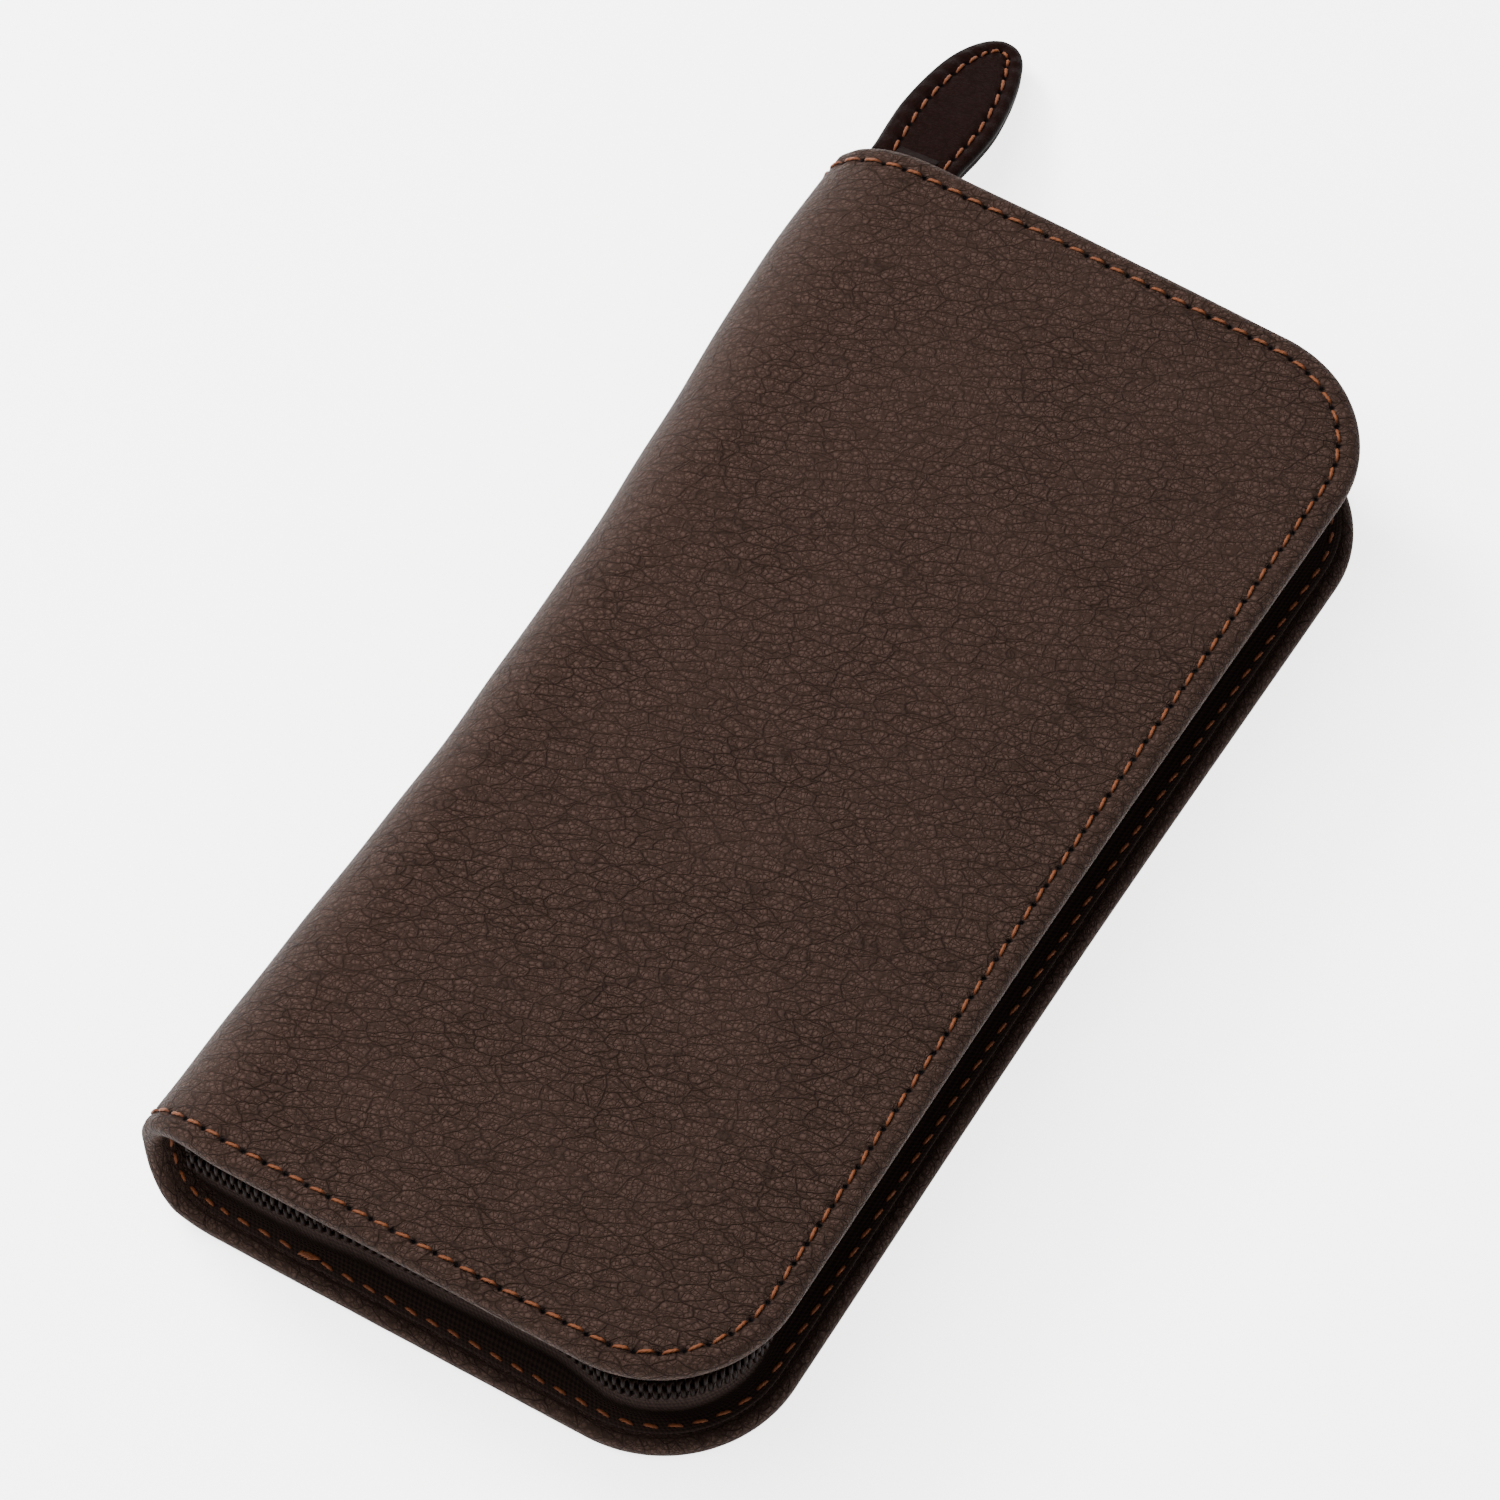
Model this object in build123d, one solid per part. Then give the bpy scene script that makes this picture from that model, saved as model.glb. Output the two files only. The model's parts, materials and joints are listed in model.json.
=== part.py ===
from build123d import *
import os

# Zip-around long wallet, lying on its back cover and zipped shut.
# +Z up, +X across the width from the folded spine to the long zipped side,
# +Y along the length towards the end where the closed slider sits.
# The origin is the middle of the back cover's resting face. Millimetres.

# ---- overall size -------------------------------------------------------
length = 195.0
width = 94.0
thickness = 25.4
corner_radius = 21.0

# ---- cover build-up, from the outside in --------------------------------
leather = 1.1
board = 1.0
rim = 2 * leather + board        # outer leather, board and turned-in hem
hem_width = 8.0
rim_round = 1.4
lining = 0.8
lining_gap = 0.05                # between the lining's edge and the turned-in hem

# ---- stitching ----------------------------------------------------------
stitch_inset = 3.2
thread_width = 0.6
thread_height = 0.25

# ---- main zip -----------------------------------------------------------
tape = 0.5
tape_edge_inset = 2.2            # free edge of the tape, seen from outside
wall_inset = 4.8                 # outer face of the standing tape
coil_depth = 2.0
coil_height = 2.2
coil_gap = 0.8                   # between the two coils, where the teeth mesh
zip_end_x = -41.5                # both ends of the zip, inside the spine fold

# ---- main slider and its pull -------------------------------------------
slider_x = -40.2
slider_length = 9.0
slider_height = 7.0
slider_plate = 1.1
slider_play = 0.15
web_length = 3.0
web_height = 0.5
slider_corner = 2.2
web_start = 1.0                  # from the slider's end to its web
crown_length = 5.4
crown_corner = 1.0
crown_height = 2.2
crown_width = 2.4
crown_wire = 0.9
link_wire = 1.0
link_eye_height = 4.4
link_frame_width = 10.0
link_frame_depth = 3.9
link_frame_corner = 2.2
link_clearance = 0.9             # from the crown to the link's frame
pull_lean = 4.0                  # degrees towards the spine
pull_droop = 16.0                # degrees below level
tab_ply = 1.2
tab_length = 35.8
tab_base = (7.0, 2.8)            # half width and distance from the bar
tab_widest = (7.9, 15.0)
tab_taper = (6.6, 26.6)
tab_shoulder = (3.2, 33.6)
tab_base_slope = (0.25, 1)
tab_tip_slope = (-1, 0.7)
tab_tip_share = 1.3              # how much more an inset line draws back at the tip
tab_neck_width = 6.6
tab_neck_start = 1.6
tab_neck_share = 0.6
tab_loop_play = 0.1
tab_stitch_inset = 2.6

# ---- pockets ------------------------------------------------------------
pocket_x_min = -30.0
note_pocket_x_max = 34.0
note_pocket_half_length = 82.0
note_pocket = 0.7
card_count = 4
card_step = 11.0
card_panel = 0.5
card_half_length = 79.0
pocket_corner = 4.0

# ---- pleated end gussets ------------------------------------------------
gusset = 0.6
gusset_outer_y = 88.8
gusset_fold_y = 82.6
gusset_x_min = -32.0
gusset_x_max = 22.0
gusset_gap = 0.1                 # to the coin pouch

# ---- zipped coin pouch in the middle ------------------------------------
pouch_x_min = -36.0
pouch_x_max = 22.0
pouch_half_length = 85.0
pouch_height = 3.6
pouch_wall = 0.8
pouch_corner = 6.0
coin_tape = 0.4
coin_tape_x_min = 16.0
coin_tape_overhang = 1.6
coin_tape_half_length = 83.0
coin_coil = 1.05
coin_coil_depth = 1.6
coin_coil_gap = 0.6
coin_coil_half_length = 80.0
coin_slider_y = 73.0
coin_slider_length = 7.0
coin_slider_height = 5.0
coin_slider_corner = 1.6
coin_slider_reach = 1.2          # inner plate, behind the tape's edge
coin_web = (1.0, 3.0)            # web, from the slider's end
coin_web_depth = 0.6
coin_pull_length = 11.0
coin_pull_width = 4.0
coin_pull_thickness = 0.8
coin_pull_corner = 1.6
coin_window_length = 3.6
coin_window_width = 2.2
coin_window_back = 0.6
coin_plate = 0.85
coin_crown_length = 4.6
coin_crown_height = 1.9
coin_crown_wire = 0.7
coin_crown_width = 1.6
coin_crown_corner = 1.0
coin_play = 0.12

# ---- worked out ---------------------------------------------------------
half_length = length / 2
half_width = width / 2
middle = thickness / 2
fold_x = -half_width + middle    # where the flat covers meet the spine fold
wall_y = half_length - wall_inset
coil_y = wall_y + coil_depth     # outer face of the coils on the +Y side
mirror_plane = Plane.XY.offset(middle)
through = 1.0                    # how far a cut runs past the solid


def save(name, *solids):
    """Write one node, as one solid or as a group of separate solids."""
    shape = solids[0] if len(solids) == 1 else Compound(children=list(solids))
    export_step(shape, f"parts/{name}.step")


def save_pair(name, *solids):
    """Write a node of the back cover and its mirror image in the front cover."""
    save(f"back_{name}", *solids)
    save(f"front_{name}", *[mirror(solid, about=mirror_plane) for solid in solids])


def box(x0, x1, y0, y1, z0, z1):
    """A block between two opposite corners."""
    return Pos((x0 + x1) / 2, (y0 + y1) / 2, (z0 + z1) / 2) * Box(x1 - x0, y1 - y0, z1 - z0)


def cover_plate(inset, z0, z1, x_min=fold_x):
    """A plate with the cover's outline, set in from its three free edges."""
    x_max = half_width - inset
    outline = Pos((x_min + x_max) / 2, 0, z0) * Rectangle(x_max - x_min, length - 2 * inset)
    corners = outline.vertices().group_by(Axis.X)[-1]
    return extrude(fillet(corners, corner_radius - inset), z1 - z0)


def cover_band(outer_inset, inner_inset, z0, z1, x_min=fold_x):
    """A U-shaped band that follows the cover's three free edges."""
    return cover_plate(outer_inset, z0, z1, x_min) - cover_plate(inner_inset, z0, z1, x_min)


def end_strip(side, y_near, y_far, z0, z1):
    """A straight strip inside the spine fold, along one end of the wallet."""
    y_pair = sorted((side * y_near, side * y_far))
    return box(zip_end_x, fold_x, *y_pair, z0, z1)


def rounded_panel(x0, x1, half_y, z0, z1, radius):
    """A flat pocket panel with rounded corners on its open edge."""
    outline = Pos((x0 + x1) / 2, 0, z0) * Rectangle(x1 - x0, 2 * half_y)
    corners = outline.vertices().group_by(Axis.X)[-1]
    return extrude(fillet(corners, radius), z1 - z0)


def cover_leather():
    """Outer leather, turned in over the board on the three free edges."""
    slab = cover_plate(0, 0, rim)
    free_edges = slab.edges().filter_by(lambda e: e.center().X > fold_x + leather)
    rim_edges = free_edges.group_by(Axis.Z)[0] + free_edges.group_by(Axis.Z)[-1]
    slab = fillet(rim_edges, rim_round)
    slab -= cover_plate(leather, leather, leather + board)
    slab -= cover_plate(hem_width, leather + board, rim)
    return slab - outer_thread()


def outer_thread():
    """Needle thread, sunk into the outer face along the stitch line."""
    half = thread_width / 2
    return cover_band(stitch_inset - half, stitch_inset + half, 0, thread_height)


def inner_thread():
    """Bobbin thread, lying on the zip tape along the same line."""
    half = thread_width / 2
    z0 = rim + tape
    return cover_band(stitch_inset - half, stitch_inset + half, z0, z0 + thread_height)


def zip_tape():
    """Tape sewn flat to the hem, then standing up to the chain."""
    wall_inner = wall_inset + tape
    top = middle - coil_gap / 2
    flat = cover_band(tape_edge_inset, wall_inner, rim, rim + tape)
    wall = cover_band(wall_inset, wall_inner, rim + tape, top)
    ends = [end_strip(side, wall_y - tape, wall_y, rim + 2 * tape, top) for side in (-1, 1)]
    return flat + wall + ends[0] + ends[1]


def zip_coil():
    """One coil of the chain, on the outer face of the standing tape."""
    top = middle - coil_gap / 2
    row = cover_band(wall_inset - coil_depth, wall_inset, top - coil_height, top)
    ends = [end_strip(side, wall_y, coil_y, top - coil_height, top) for side in (-1, 1)]
    return row + ends[0] + ends[1]


def spine_shell(outer_radius, wall, half_y):
    """A half tube about the spine fold's centre line."""
    centre = Plane.XZ * Pos(fold_x, middle)
    ring = Circle(outer_radius) - Circle(outer_radius - wall)
    left = Pos(-outer_radius, 0) * Rectangle(2 * outer_radius, 3 * outer_radius)
    return extrude(centre * (ring & left), half_y, both=True)


def end_gusset(side):
    """One pleat of soft leather between the back pockets and the coin pouch."""
    z_low = rim
    z_high = middle - pouch_height / 2 - gusset_gap
    z_fold = (z_low + z_high) / 2
    outer = side * gusset_outer_y
    fold = side * gusset_fold_y
    shift = side * gusset
    outline = Polyline(
        (outer, z_low), (fold, z_fold), (outer, z_high),
        (outer - shift, z_high), (fold - shift, z_fold), (outer - shift, z_low), close=True)
    profile = Plane.YZ.offset(gusset_x_min) * make_face(outline)
    return extrude(profile, gusset_x_max - gusset_x_min)


def slider_body():
    """Outer and inner plates joined by the thin web that parts the coils."""
    half = slider_length / 2
    outer_y = coil_y + slider_play
    inner_y = wall_y - tape - slider_play
    z0 = middle - slider_height / 2
    z1 = middle + slider_height / 2
    x0 = slider_x - half
    x1 = slider_x + half
    outer_plate = box(x0, x1, outer_y, outer_y + slider_plate, z0, z1)
    outer_plate = fillet(outer_plate.edges().filter_by(Axis.Y), slider_corner)
    inner_plate = box(x0, x1, inner_y - slider_plate, inner_y, z0, z1)
    inner_plate = fillet(inner_plate.edges().filter_by(Axis.Y), slider_corner)
    web_x = x0 + web_start
    web = box(web_x, web_x + web_length, inner_y - slider_plate / 2, outer_y + slider_plate / 2,
              middle - web_height / 2, middle + web_height / 2)
    return outer_plate + inner_plate + web


def arch(span, height, wire, breadth, corner):
    """A low arch in the XY plane: two feet on y = 0 and a bar across them."""
    outer = Pos(0, height / 2) * Rectangle(span, height)
    outer = fillet(outer.vertices().group_by(Axis.Y)[-1], corner)
    inner = Pos(0, (height - wire) / 2) * Rectangle(span - 2 * wire, height - wire)
    return extrude(outer - inner, breadth / 2, both=True)


def place_pull(shape):
    """Turn the pull about the crown, to the way it lies at rest."""
    return shape.rotate(Axis((slider_x, pivot_y, 0), (0, 0, 1)), pull_lean)


crown_y = coil_y + slider_play + slider_plate
pivot_y = crown_y + (crown_height - crown_wire) / 2      # swing axis, inside the crown
frame_y = crown_y + crown_height + link_clearance        # near bar of the link's frame
bar_y = frame_y + link_frame_depth - link_wire           # far bar, which holds the tab


def pull_link():
    """Cast link: an upright eye through the crown and a level frame for the tab."""
    half_eye = link_eye_height / 2
    inner_bar = Pos(slider_x, pivot_y, middle) * Cylinder(link_wire / 2, link_eye_height)
    cheeks = [
        box(slider_x - link_wire / 2, slider_x + link_wire / 2, pivot_y, frame_y + link_wire,
            middle + side * half_eye - link_wire / 2, middle + side * half_eye + link_wire / 2)
        for side in (-1, 1)
    ]
    post = box(slider_x - link_wire / 2, slider_x + link_wire / 2, frame_y, frame_y + link_wire,
               middle - half_eye, middle + half_eye)
    half = link_frame_width / 2
    frame = box(slider_x - half, slider_x + half, frame_y, bar_y + link_wire / 2,
                middle - link_wire / 2, middle + link_wire / 2)
    near_corners = frame.edges().filter_by(Axis.Z).group_by(Axis.Y)[0]
    frame = fillet(near_corners, link_frame_corner)
    hole = box(slider_x - half + link_wire, slider_x + half - link_wire, frame_y + link_wire,
               bar_y + link_wire, middle - link_wire, middle + link_wire)
    hole = fillet(hole.edges().filter_by(Axis.Z).group_by(Axis.Y)[0], link_frame_corner - link_wire)
    bar = Pos(slider_x, bar_y, middle) * Rot(0, 90, 0) * Cylinder(link_wire / 2, link_frame_width - link_wire)
    return place_pull(inner_bar + cheeks[0] + cheeks[1] + post + (frame - hole) + bar)


def leaf_outline(inset):
    """The tab's leaf shape, from the neck at the bar to a blunt point."""
    tip = tab_length - inset * tab_tip_share
    shrink = tip / tab_length
    base = (tab_base[0] - inset, tab_base[1] + inset)
    side = [(half - inset, along * shrink) for half, along in (tab_widest, tab_taper, tab_shoulder)]
    right = Spline(base, *side, (0, tip), tangents=[tab_base_slope, tab_tip_slope])
    left = mirror(right, about=Plane.YZ)
    neck = (base[0] * tab_neck_share, tab_neck_start + inset)
    foot = Polyline((-base[0], base[1]), (-neck[0], neck[1]), neck, base)
    return make_face(right + left + foot)


def place_tab(shape):
    """Put the tab on the link's far bar, drooping as it does at rest."""
    drooped = Pos(slider_x, bar_y, middle) * Rot(-pull_droop, 0, 0) * shape
    return place_pull(drooped)


def tab_leather():
    """Strap doubled round the bar and sewn to itself as a leaf-shaped tab."""
    leaf = extrude(leaf_outline(0), tab_ply, both=True)
    loop_inner = link_wire / 2 + tab_loop_play
    loop_outer = loop_inner + tab_ply
    loop = Rot(0, 90, 0) * Cylinder(loop_outer, tab_neck_width)
    neck = Pos(0, tab_neck_start, 0) * Box(tab_neck_width, 2 * tab_neck_start, 2 * tab_ply)
    hole = Rot(0, 90, 0) * Cylinder(loop_inner, 4 * tab_neck_width)
    return place_tab(leaf + loop + neck - hole)


def tab_thread():
    """Thread on both faces of the tab, a little in from its edge."""
    half = thread_width / 2
    outer = leaf_outline(tab_stitch_inset - half)
    inner = leaf_outline(tab_stitch_inset + half)
    band = extrude(outer - inner, thread_height)
    upper = Pos(0, 0, tab_ply) * band
    lower = Pos(0, 0, -tab_ply - thread_height) * band
    return place_tab(upper), place_tab(lower)


def build_covers():
    """Everything that the back and front covers have alike."""
    save_pair("leather", cover_leather())
    save_pair("board", cover_plate(leather, leather, leather + board))
    save_pair("lining", cover_plate(hem_width + lining_gap, leather + board, leather + board + lining))
    save_pair("stitching", outer_thread(), inner_thread())
    save_pair("zip_tape", zip_tape())
    save_pair("zip_coil", zip_coil())

    z0 = leather + board + lining
    save_pair("note_pocket", rounded_panel(pocket_x_min, note_pocket_x_max, note_pocket_half_length,
                                           z0, z0 + note_pocket, pocket_corner))
    z0 += note_pocket
    for step in range(card_count):
        x_max = note_pocket_x_max - (step + 1) * card_step
        panel = rounded_panel(pocket_x_min, x_max, card_half_length, z0, z0 + card_panel, pocket_corner)
        save_pair(f"card_panel_{step + 1}", panel)
        z0 += card_panel

    save_pair("gusset_near", end_gusset(-1))
    save_pair("gusset_far", end_gusset(1))


def build_spine():
    """The soft fold that joins the covers, and its lining."""
    save("spine_leather", spine_shell(middle, leather, half_length))
    lining_radius = middle - leather - board
    save("spine_lining", spine_shell(lining_radius, lining, half_length - hem_width))


def build_coin_pouch():
    """Two walls, a closing band, and a short zip along the mouth."""
    z0 = middle - pouch_height / 2
    back = rounded_panel(pouch_x_min, pouch_x_max, pouch_half_length, z0, z0 + pouch_wall, pouch_corner)
    save("coin_pouch_back_wall", back)
    save("coin_pouch_front_wall", mirror(back, about=mirror_plane))

    inner_z = z0 + pouch_wall
    band = box(pouch_x_min, pouch_x_max - pouch_corner, -pouch_half_length, pouch_half_length,
               inner_z, thickness - inner_z)
    band -= box(pouch_x_min + pouch_wall, pouch_x_max, pouch_wall - pouch_half_length,
                pouch_half_length - pouch_wall, inner_z - through, thickness - inner_z + through)
    save("coin_pouch_band", band)

    tape_end = pouch_x_max + coin_tape_overhang
    strip = box(coin_tape_x_min, tape_end, -coin_tape_half_length, coin_tape_half_length,
                inner_z, inner_z + coin_tape)
    save("coin_zip_tapes", strip, mirror(strip, about=mirror_plane))

    top = middle - coin_coil_gap / 2
    row = box(tape_end, tape_end + coin_coil_depth, -coin_coil_half_length, coin_coil_half_length,
              top - coin_coil, top)
    save("coin_zip_coils", row, mirror(row, about=mirror_plane))
    build_coin_slider(tape_end, inner_z + coin_tape)


def build_coin_slider(tape_end, tape_face):
    """The coin zip's slider, its crown and its metal pull."""
    half = coin_slider_length / 2
    half_height = coin_slider_height / 2
    outer_x = tape_end + coin_coil_depth + coin_play
    y0 = coin_slider_y - half
    y1 = coin_slider_y + half
    outer_plate = box(outer_x, outer_x + coin_plate, y0, y1, middle - half_height, middle + half_height)
    outer_plate = fillet(outer_plate.edges().filter_by(Axis.X), coin_slider_corner)
    inner_plate = box(tape_end - coin_slider_reach, tape_end - coin_play, y0, y1,
                      tape_face + coin_play, thickness - tape_face - coin_play)
    half_web = coin_coil_gap / 2 - coin_play
    web = box(tape_end - coin_web_depth, outer_x + coin_web_depth, y1 - coin_web[1], y1 - coin_web[0],
              middle - half_web, middle + half_web)
    save("coin_slider_body", outer_plate + inner_plate + web)

    crown_x = outer_x + coin_plate
    crown = arch(coin_crown_length, coin_crown_height, coin_crown_wire, coin_crown_width, coin_crown_corner)
    save("coin_slider_crown", Pos(crown_x, coin_slider_y, middle) * Rot(0, 0, -90) * crown)

    pivot_x = crown_x + (coin_crown_height - coin_crown_wire) / 2
    half_pull = coin_pull_thickness / 2
    half_width_z = coin_pull_width / 2
    eye = Pos(pivot_x, coin_slider_y, middle) * Cylinder(half_pull, coin_pull_width)
    plate = box(pivot_x - half_pull, pivot_x + half_pull, coin_slider_y - coin_pull_length, coin_slider_y,
                middle - half_width_z, middle + half_width_z)
    plate = fillet(plate.edges().filter_by(Axis.X).group_by(Axis.Y)[0], coin_pull_corner)
    half_window = coin_window_width / 2
    window = box(pivot_x - through, pivot_x + through, coin_slider_y - coin_window_length,
                 coin_slider_y + coin_window_back, middle - half_window, middle + half_window)
    save("coin_pull", plate - window + eye)


def build_slider():
    """The main slider, its crown, the cast link and the leather tab."""
    save("slider_body", slider_body())
    crown = arch(crown_length, crown_height, crown_wire, crown_width, crown_corner)
    save("slider_crown", Pos(slider_x, crown_y, middle) * crown)
    save("pull_link", pull_link())
    save("pull_tab_leather", tab_leather())
    save("pull_tab_stitching", *tab_thread())


os.makedirs("parts", exist_ok=True)
build_covers()
build_spine()
build_coin_pouch()
build_slider()
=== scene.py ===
import json
import math

import bmesh
import bpy
import numpy as np
from mathutils import Matrix, Vector


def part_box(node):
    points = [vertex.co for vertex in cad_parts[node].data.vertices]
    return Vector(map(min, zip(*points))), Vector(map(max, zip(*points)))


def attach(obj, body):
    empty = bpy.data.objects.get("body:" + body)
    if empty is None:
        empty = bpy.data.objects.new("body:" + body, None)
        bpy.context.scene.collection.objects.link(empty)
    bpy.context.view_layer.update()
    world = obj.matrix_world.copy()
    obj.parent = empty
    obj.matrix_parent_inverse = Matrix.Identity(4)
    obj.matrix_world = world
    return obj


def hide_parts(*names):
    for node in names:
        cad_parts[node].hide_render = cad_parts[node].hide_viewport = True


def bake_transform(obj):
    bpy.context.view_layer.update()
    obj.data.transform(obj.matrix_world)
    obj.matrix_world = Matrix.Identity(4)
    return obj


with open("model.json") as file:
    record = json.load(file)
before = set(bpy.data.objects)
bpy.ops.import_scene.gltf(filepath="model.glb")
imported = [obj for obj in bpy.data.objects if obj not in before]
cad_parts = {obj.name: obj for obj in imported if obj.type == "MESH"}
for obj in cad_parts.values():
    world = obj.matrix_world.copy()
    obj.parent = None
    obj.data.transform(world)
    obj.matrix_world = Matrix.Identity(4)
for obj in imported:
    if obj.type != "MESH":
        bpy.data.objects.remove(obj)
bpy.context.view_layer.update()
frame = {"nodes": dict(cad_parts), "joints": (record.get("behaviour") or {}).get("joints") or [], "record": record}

# Zip-around long wallet. Lengths are millimetres in the row frame; make_object turns them into
# metres. A cover is described as a flat hide: u across from the spine fold, v along the length,
# and h up from the hem's face. A side is 1 for the front cover and -1 for the back cover.

MM = 0.001
SIDES = {1: "front", -1: "back"}
rng = np.random.default_rng(11)


def node_box(node):
    """Lowest and highest corner of a CAD node, in millimetres."""
    low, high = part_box(node)
    return np.array(low) / MM, np.array(high) / MM


# ---- sizes that follow from the CAD frame -------------------------------
leather_low, leather_high = node_box("front_leather")
board_low, board_high = node_box("front_board")
fold_x = leather_low[0]
edge_u = leather_high[0] - fold_x
half_length = leather_high[1]
top_z = leather_high[2]
middle = top_z / 2
rim = top_z - leather_low[2]
leather = top_z - board_high[2]
board = board_high[2] - board_low[2]
quarter = middle * math.pi / 2            # hide used by half of the spine fold

# ---- sizes that the frame doesn't hold ----------------------------------
corner_radius = 21.0
hem_width = 8.0
stitch_inset = 3.2
tape_thickness = 0.5
zip_end_u = -7.2                          # the zip ends this far round the spine
stitch_count = 107
columns_per_stitch = 6
rim_roll = 1.9                            # how far in the edge starts to round
roundness = 2.3                           # 2 is an ellipse, more is squarer
waist_depth = 0.8                         # how far the long edge draws in at mid-length
end_setbacks = (2.7, 1.0)                 # how far the spine draws in at its near and far end
corner_draw = 1.0                         # how far the far corner draws in
draw_from_v = 55                          # the ends draw in beyond this
crown = 0.6                               # how far the front cover's panel rises
bar_tack_run = 48.6                       # from the bar tack to the near corner
hole_gap = 0.14                           # share of a stitch that its thread stays short of each hole
pocket_radius = 4.0                       # corners of the pocket panels
pocket_stitch_inset = 1.5
wall_radius = 6.0                         # corners of the coin pouch
wall_stitch_inset = 2.2

# ---- lengths along the stitch line --------------------------------------
side_run = quarter + edge_u - corner_radius
corner_run = (corner_radius - stitch_inset) * math.pi / 2
long_run = 2 * (half_length - corner_radius)
whole_run = 2 * side_run + 2 * corner_run + long_run
pitch = whole_run / stitch_count
zip_start = quarter + zip_end_u
zip_stop = whole_run - zip_start


# ---- small helpers ------------------------------------------------------
def smooth(x, low=0.0, high=1.0):
    """0 below low, 1 above high, with a soft start and end."""
    t = np.clip((np.asarray(x, float) - low) / (high - low), 0, 1)
    return t * t * (3 - 2 * t)


def bell(x, width):
    """1 at 0, fading to 0 beyond about two widths."""
    return np.exp(-((x / width) ** 2))


def ease(x, points):
    """A smooth curve through (place, value) points."""
    xs, ys = (np.array(values) for values in zip(*points))
    x = np.clip(np.asarray(x, float), xs[0], xs[-1])
    i = np.clip(np.searchsorted(xs, x, side="right") - 1, 0, len(xs) - 2)
    return ys[i] + (ys[i + 1] - ys[i]) * smooth(x, xs[i], xs[i + 1])


def unit(vectors):
    """The same directions at length 1."""
    return vectors / np.linalg.norm(vectors, axis=1)[:, None]


def run_along(points):
    """Distance along a line, at each of its points."""
    return np.concatenate([[0], np.cumsum(np.linalg.norm(np.diff(points, axis=0), axis=1))])


def ripple(u, v, waves):
    """A gentle fixed unevenness, as a sum of waves."""
    total = np.zeros(np.broadcast(u, v).shape)
    for amount, length, heading, phase in waves:
        along = np.cos(heading) * u + np.sin(heading) * v
        total = total + amount * np.sin(2 * np.pi * along / length + phase)
    return total


def random_waves(count, amount, shortest, longest):
    """Waves for ripple, drawn once so that each run is the same."""
    draw = rng.uniform
    return [(amount * draw(0.5, 1), draw(shortest, longest), draw(0, np.pi), draw(0, 7))
            for _ in range(count)]


def make_object(name, points, faces, material):
    """A smooth-shaded mesh object from millimetre points."""
    mesh = bpy.data.meshes.new(name)
    mesh.from_pydata([tuple(p) for p in np.asarray(points) * MM], [], faces)
    mesh.validate()
    mesh.materials.append(material)
    mesh.shade_smooth()
    obj = bpy.data.objects.new(name, mesh)
    bpy.context.scene.collection.objects.link(obj)
    return obj


def point_values(obj, name, values):
    """Store a number or a vector at every point, for the materials."""
    values = np.asarray(values, np.float32)
    kind, field = ("FLOAT", "value") if values.ndim == 1 else ("FLOAT_VECTOR", "vector")
    obj.data.attributes.new(name, kind, "POINT").data.foreach_set(field, values.ravel())


def weld(obj):
    """Join points that lie on each other, and face all faces outward."""
    mesh = bmesh.new()
    mesh.from_mesh(obj.data)
    bmesh.ops.remove_doubles(mesh, verts=mesh.verts, dist=1e-6)
    bmesh.ops.dissolve_degenerate(mesh, edges=mesh.edges, dist=1e-7)
    bmesh.ops.recalc_face_normals(mesh, faces=mesh.faces)
    mesh.to_mesh(obj.data)
    mesh.free()


def grid_faces(rows, columns, start=0, close_columns=False, flip=False):
    """Quads over a grid of points that is stored row by row."""
    faces = []
    for r in range(rows - 1):
        for c in range(columns if close_columns else columns - 1):
            a = start + r * columns + c
            b = start + r * columns + (c + 1) % columns
            faces.append((a, a + columns, b + columns, b) if flip else (a, b, b + columns, a + columns))
    return faces


def end_caps(around, total, start=0):
    """Faces that close both ends of a tube, which is stored ring by ring."""
    return [tuple(range(start, start + around))[::-1], tuple(range(start + total - around, start + total))]


def tube_piece(name, centre, radius, around, material):
    """A round wire along a line."""
    along = unit(np.gradient(centre, axis=0))
    first = unit(np.cross(along, np.array([0.31, 0.17, 0.94])))
    second = np.cross(along, first)
    a = np.linspace(0, 2 * np.pi, around, endpoint=False)
    ring = first[:, None] * np.cos(a)[None, :, None] + second[:, None] * np.sin(a)[None, :, None]
    points = (centre[:, None] + ring * radius).reshape(-1, 3)
    faces = grid_faces(len(centre), around, close_columns=True) + end_caps(around, len(points))
    return make_object(name, points, faces, material)


def double_sheet(name, sheets, shape, material, hide_shift=None):
    """A closed sheet from the grids of its two faces."""
    rows, columns = shape
    count = rows * columns
    faces = grid_faces(rows, columns) + grid_faces(rows, columns, count, flip=True)
    ring = [(0, c) for c in range(columns)] + [(r, columns - 1) for r in range(1, rows)]
    ring += [(rows - 1, c) for c in range(columns - 2, -1, -1)] + [(r, 0) for r in range(rows - 2, 0, -1)]
    ids = [r * columns + c for r, c in ring]
    faces += [(b, a, a + count, b + count) for a, b in zip(ids, ids[1:] + ids[:1])]
    points = np.concatenate([sheet.reshape(-1, 3) for sheet in sheets])
    obj = make_object(name, points, faces, material)
    if hide_shift:
        point_values(obj, "hide", points + np.array(hide_shift))
    weld(obj)
    return obj


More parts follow.
